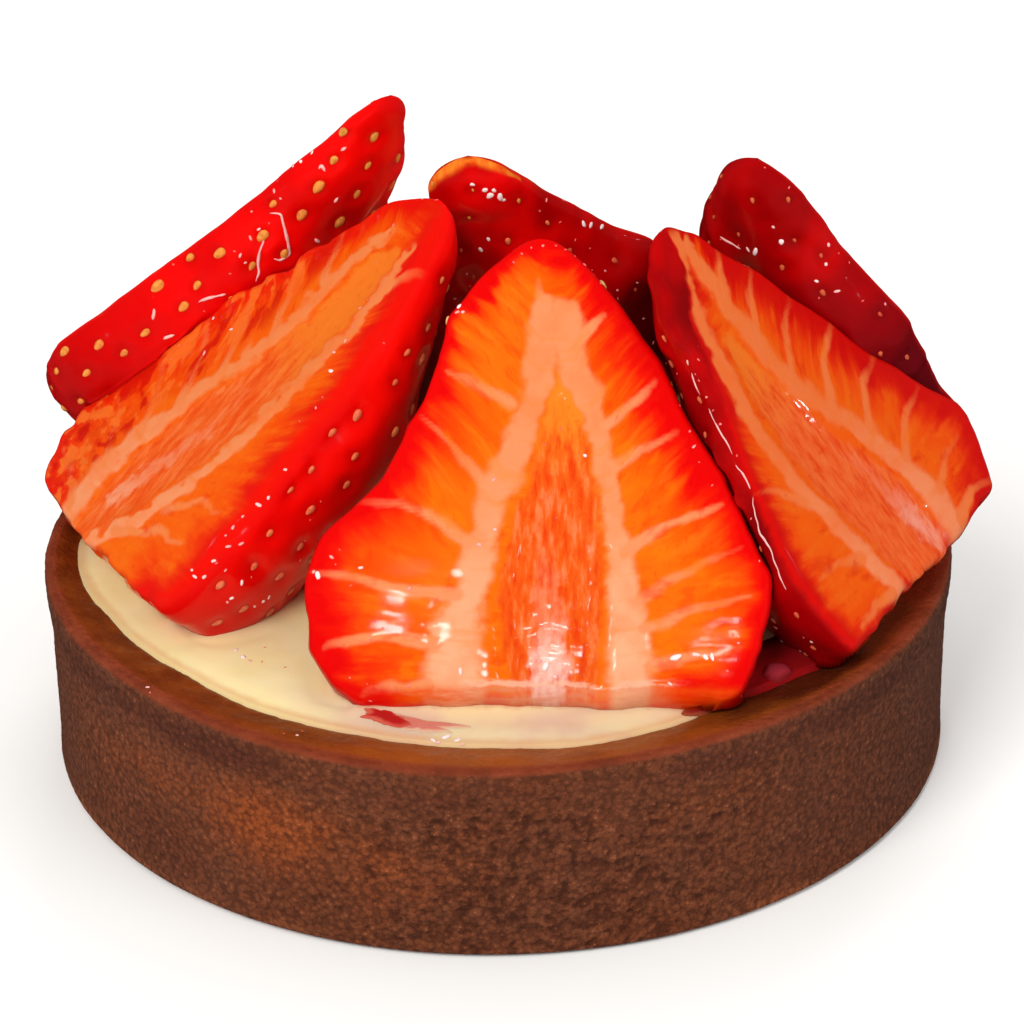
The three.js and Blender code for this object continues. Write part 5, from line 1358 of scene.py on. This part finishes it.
# ---------------------------------------------------------------------------------------------
# pool of juice and glaze between the berries and the rim
# ---------------------------------------------------------------------------------------------
def build_pool(name, centre, reach, height, seed, stretch=(1.0, 1.0), turn=0.0, uneven=0.16, sink=0.5):
    """A thin closed puddle that lies on the cream: reach is its mean radius, height the crown of its top."""
    nth, nr = 120, 22
    th = np.arange(nth) / nth * TAU
    out = reach * (1 + uneven * fbm(stack(np.cos(th) * 1.6, np.sin(th) * 1.6, seed), 3, seed))
    rho = np.linspace(0.05, 1.0, nr)
    ct, st = math.cos(turn), math.sin(turn)
    ex, ey = np.cos(th) * out * stretch[0], np.sin(th) * out * stretch[1]
    ex, ey = ex * ct - ey * st, ex * st + ey * ct
    X, Y = centre[0] + rho[:, None] * ex, centre[1] + rho[:, None] * ey
    away, az = np.hypot(X, Y), np.arctan2(Y, X)
    hold = np.minimum(1.0, (rim_inner(az) + 0.55) / away)
    X, Y = X * hold, Y * hold
    z, _ = cream_height(X, Y)
    z = np.maximum(z, 17.0 + rim_height(az) - 0.35)
    top = z + height * np.sqrt(np.clip(1 - rho[:, None] ** 2.6, 0, 1)) + 0.03 * noise(stack(X * 0.8, Y * 0.8, 1), seed)
    low = z - sink * np.clip(1 - rho[:, None] ** 4, 0.05, 1)
    P = np.concatenate([stack(X, Y, low), stack(X, Y, top)[::-1]])
    zc, _ = cream_height(np.array([centre[0]]), np.array([centre[1]]))
    r1 = np.concatenate([rho, rho[::-1]])[:, None] * np.ones(nth)
    return wrapped_grid(name, P, (centre[0], centre[1], zc[0] - sink), (centre[0], centre[1], zc[0] + height), {"pool": (r1, 0, 0)})


def juice_material(name, deep, thin):
    m = Mat(name)
    r = m.attr("pool")
    p = m.place()
    n = m.noise(p, 0.5, 3.0)
    col = m.mix(m.range(m.math("MULTIPLY_ADD", m.math("SUBTRACT", n, 0.5), 0.4, r), 0.55, 1.0), lin(*deep), lin(*thin))
    m.set(color=col, rough=m.range(n, 0.3, 0.7, 0.12, 0.2, "LINEAR"), normal=m.bump(n, 0.2, 0.0001), coat=1.0, coat_rough=0.03, ior=1.36, sss=0.3, sss_radius=(0.0012, 0.0004, 0.0003), sss_scale=0.8)
    return m.m


# ---------------------------------------------------------------------------------------------
# build
# ---------------------------------------------------------------------------------------------
for i, name in enumerate(ORDER):
    ob = build_half(name, 7 + i)
    keep_surface(name, ob)
    finish_piece(ob, strawberry_material(name, i + 1), "strawberry", "strawberry_half_" + name)
crust, cream = build_crust(), build_cream()
keep_surface("crust", crust)
keep_surface("cream", cream)
finish_piece(crust, crust_material(), "cocoa_crust", "crust_shell")
finish_piece(cream, cream_material(), "pastry_cream", "cream_filling")
finish_piece(build_seeds(), seed_material(), "strawberry_seed")
finish_piece(build_glaze(), glaze_material(), "strawberry")
finish_piece(build_pool("juice_pool", (23.4, -23.2), 5.0, 0.3, 3, (1.3, 0.8), math.radians(45)), juice_material("berry_juice", (156, 20, 24), (88, 28, 12)), "red_juice")
finish_piece(build_pool("juice_blob", (23.2, -23.9), 1.25, 0.75, 4, (1.2, 0.9), math.radians(40)), juice_material("pink_juice", (176, 52, 66), (140, 26, 30)), "red_juice")
finish_piece(build_pool("juice_drop", (-9.3, -30.0), 1.25, 0.3, 5, (1.7, 0.55), math.radians(-22), 0.8), juice_material("red_drop", (176, 26, 24), (206, 92, 74)), "red_juice")
finish_piece(build_pool("juice_smear", (-6.4, -31.0), 1.9, 0.12, 8, (1.7, 0.42), math.radians(-14), 0.9), juice_material("thin_juice", (206, 118, 104), (222, 174, 142)), "red_juice")
finish_piece(build_pool("juice_corner", (16.6, -29.2), 1.25, 0.2, 11, (1.5, 0.5), math.radians(27), 0.12), juice_material("dark_juice", (142, 34, 28), (150, 70, 44)), "red_juice")

# ---------------------------------------------------------------------------------------------
# stage: pale floor, soft light, camera at the photograph's view
# ---------------------------------------------------------------------------------------------
floor_mesh = bpy.data.meshes.new("floor")
F = 4.0
floor_mesh.from_pydata([(-F, -F, -0.0002), (F, -F, -0.0002), (F, F, -0.0002), (-F, F, -0.0002)], [], [(0, 1, 2, 3)])
floor = bpy.data.objects.new("floor", floor_mesh)
bpy.context.scene.collection.objects.link(floor)
fm = Mat("floor_pale")
fm.set(color=lin(249, 249, 248), rough=0.9, spec=0.1)
floor.data.materials.append(fm.m)
floor.visible_glossy = False

world = bpy.data.worlds.new("studio")
bpy.context.scene.world = world
world.use_nodes = True
wt = world.node_tree
wt.nodes.clear()
wout = wt.nodes.new("ShaderNodeOutputWorld")
path = wt.nodes.new("ShaderNodeLightPath")


def backdrop(strength, color):
    n = wt.nodes.new("ShaderNodeBackground")
    n.inputs["Color"].default_value = color
    n.inputs["Strength"].default_value = strength
    return n.outputs[0]


seen = wt.nodes.new("ShaderNodeMixShader")
wt.links.new(path.outputs["Is Camera Ray"], seen.inputs[0])
wt.links.new(backdrop(0.60, (1, 0.99, 0.975, 1)), seen.inputs[1])
wt.links.new(backdrop(1.0, (1, 1, 1, 1)), seen.inputs[2])
wt.links.new(seen.outputs[0], wout.inputs["Surface"])
world.cycles_visibility.glossy = False


def area(name, at, aim, size, watts, color=(1, 1, 1), glossy=True, size_y=None):
    lamp = bpy.data.lights.new(name, "AREA")
    lamp.shape = "RECTANGLE"
    lamp.size, lamp.size_y = size, size_y or size
    lamp.energy = watts
    lamp.color = color
    ob = bpy.data.objects.new(name, lamp)
    bpy.context.scene.collection.objects.link(ob)
    at, aim = np.array(at, float), np.array(aim, float)
    z = (at - aim) / np.linalg.norm(at - aim)
    x = np.cross((0, 0, 1), z)
    x /= np.linalg.norm(x)
    y = np.cross(z, x)
    ob.matrix_world = Matrix([[x[0], y[0], z[0], at[0]], [x[1], y[1], z[1], at[1]], [x[2], y[2], z[2], at[2]], [0, 0, 0, 1]])
    ob.visible_glossy = glossy
    ob.visible_camera = False
    return ob


AIM = (0.0, 0.0, 0.025)
area("key", (-0.34, -0.58, 0.62), AIM, 0.45, 5.5, (1.0, 0.99, 0.965), glossy=False)
area("fill", (0.55, -0.45, 0.45), AIM, 0.5, 1.5, (1.0, 0.99, 0.98), glossy=False)
area("back_fill", (0.15, 0.75, 0.55), AIM, 0.5, 2.6, (1.0, 0.99, 0.98), glossy=False)
# small lamps whose mirror images are the glints of the glaze
for k, (at, wide, high, radiance) in enumerate((
        ((-0.070, -0.319, 0.358), 5, 4, 44), ((-0.040, -0.330, 0.350), 5, 4, 48), ((-0.005, -0.328, 0.355), 5, 3, 26),
        ((-0.300, -0.190, 0.330), 6, 6, 60), ((0.090, -0.420, 0.030), 16, 9, 60), ((0.300, -0.290, 0.050), 8, 8, 50),
        ((-0.380, 0.130, 0.270), 6, 5, 60), ((0.440, 0.060, 0.190), 6, 6, 50), ((-0.020, 0.380, 0.250), 8, 5, 60),
        ((-0.160, 0.020, 0.500), 10, 8, 60), ((-0.040, 0.520, 0.330), 10, 8, 60), ((0.420, 0.200, 0.340), 10, 8, 50),
        ((-0.380, -0.170, 0.060), 8, 8, 50))):
    area("glint_%d" % k, at, AIM, wide * MM, radiance * math.pi * wide * high * MM * MM, size_y=high * MM)

# the photograph's camera
EL, ROLL = math.radians(26.92), math.radians(-1.0)
fwd = np.array([0, math.cos(EL), -math.sin(EL)])
up = np.array([0, math.sin(EL), math.cos(EL)])
right = np.array([1.0, 0, 0])
cr, sr = math.cos(ROLL), math.sin(ROLL)
cx, cy = cr * right + sr * up, -sr * right + cr * up
eye = (np.array([1.3, 0.0, 20.4]) - fwd * 320.0) * MM
cam_data = bpy.data.cameras.new("camera")
cam_data.sensor_width = 36.0
cam_data.lens = 3596.0 / 1024.0 * 36.0
cam_data.clip_start, cam_data.clip_end = 0.01, 30.0
cam = bpy.data.objects.new("camera", cam_data)
bpy.context.scene.collection.objects.link(cam)
cam.matrix_world = Matrix([[cx[0], cy[0], -fwd[0], eye[0]], [cx[1], cy[1], -fwd[1], eye[1]], [cx[2], cy[2], -fwd[2], eye[2]], [0, 0, 0, 1]])
bpy.context.scene.camera = cam
bpy.context.scene.view_settings.view_transform = "Standard"
bpy.context.scene.view_settings.look = "None"
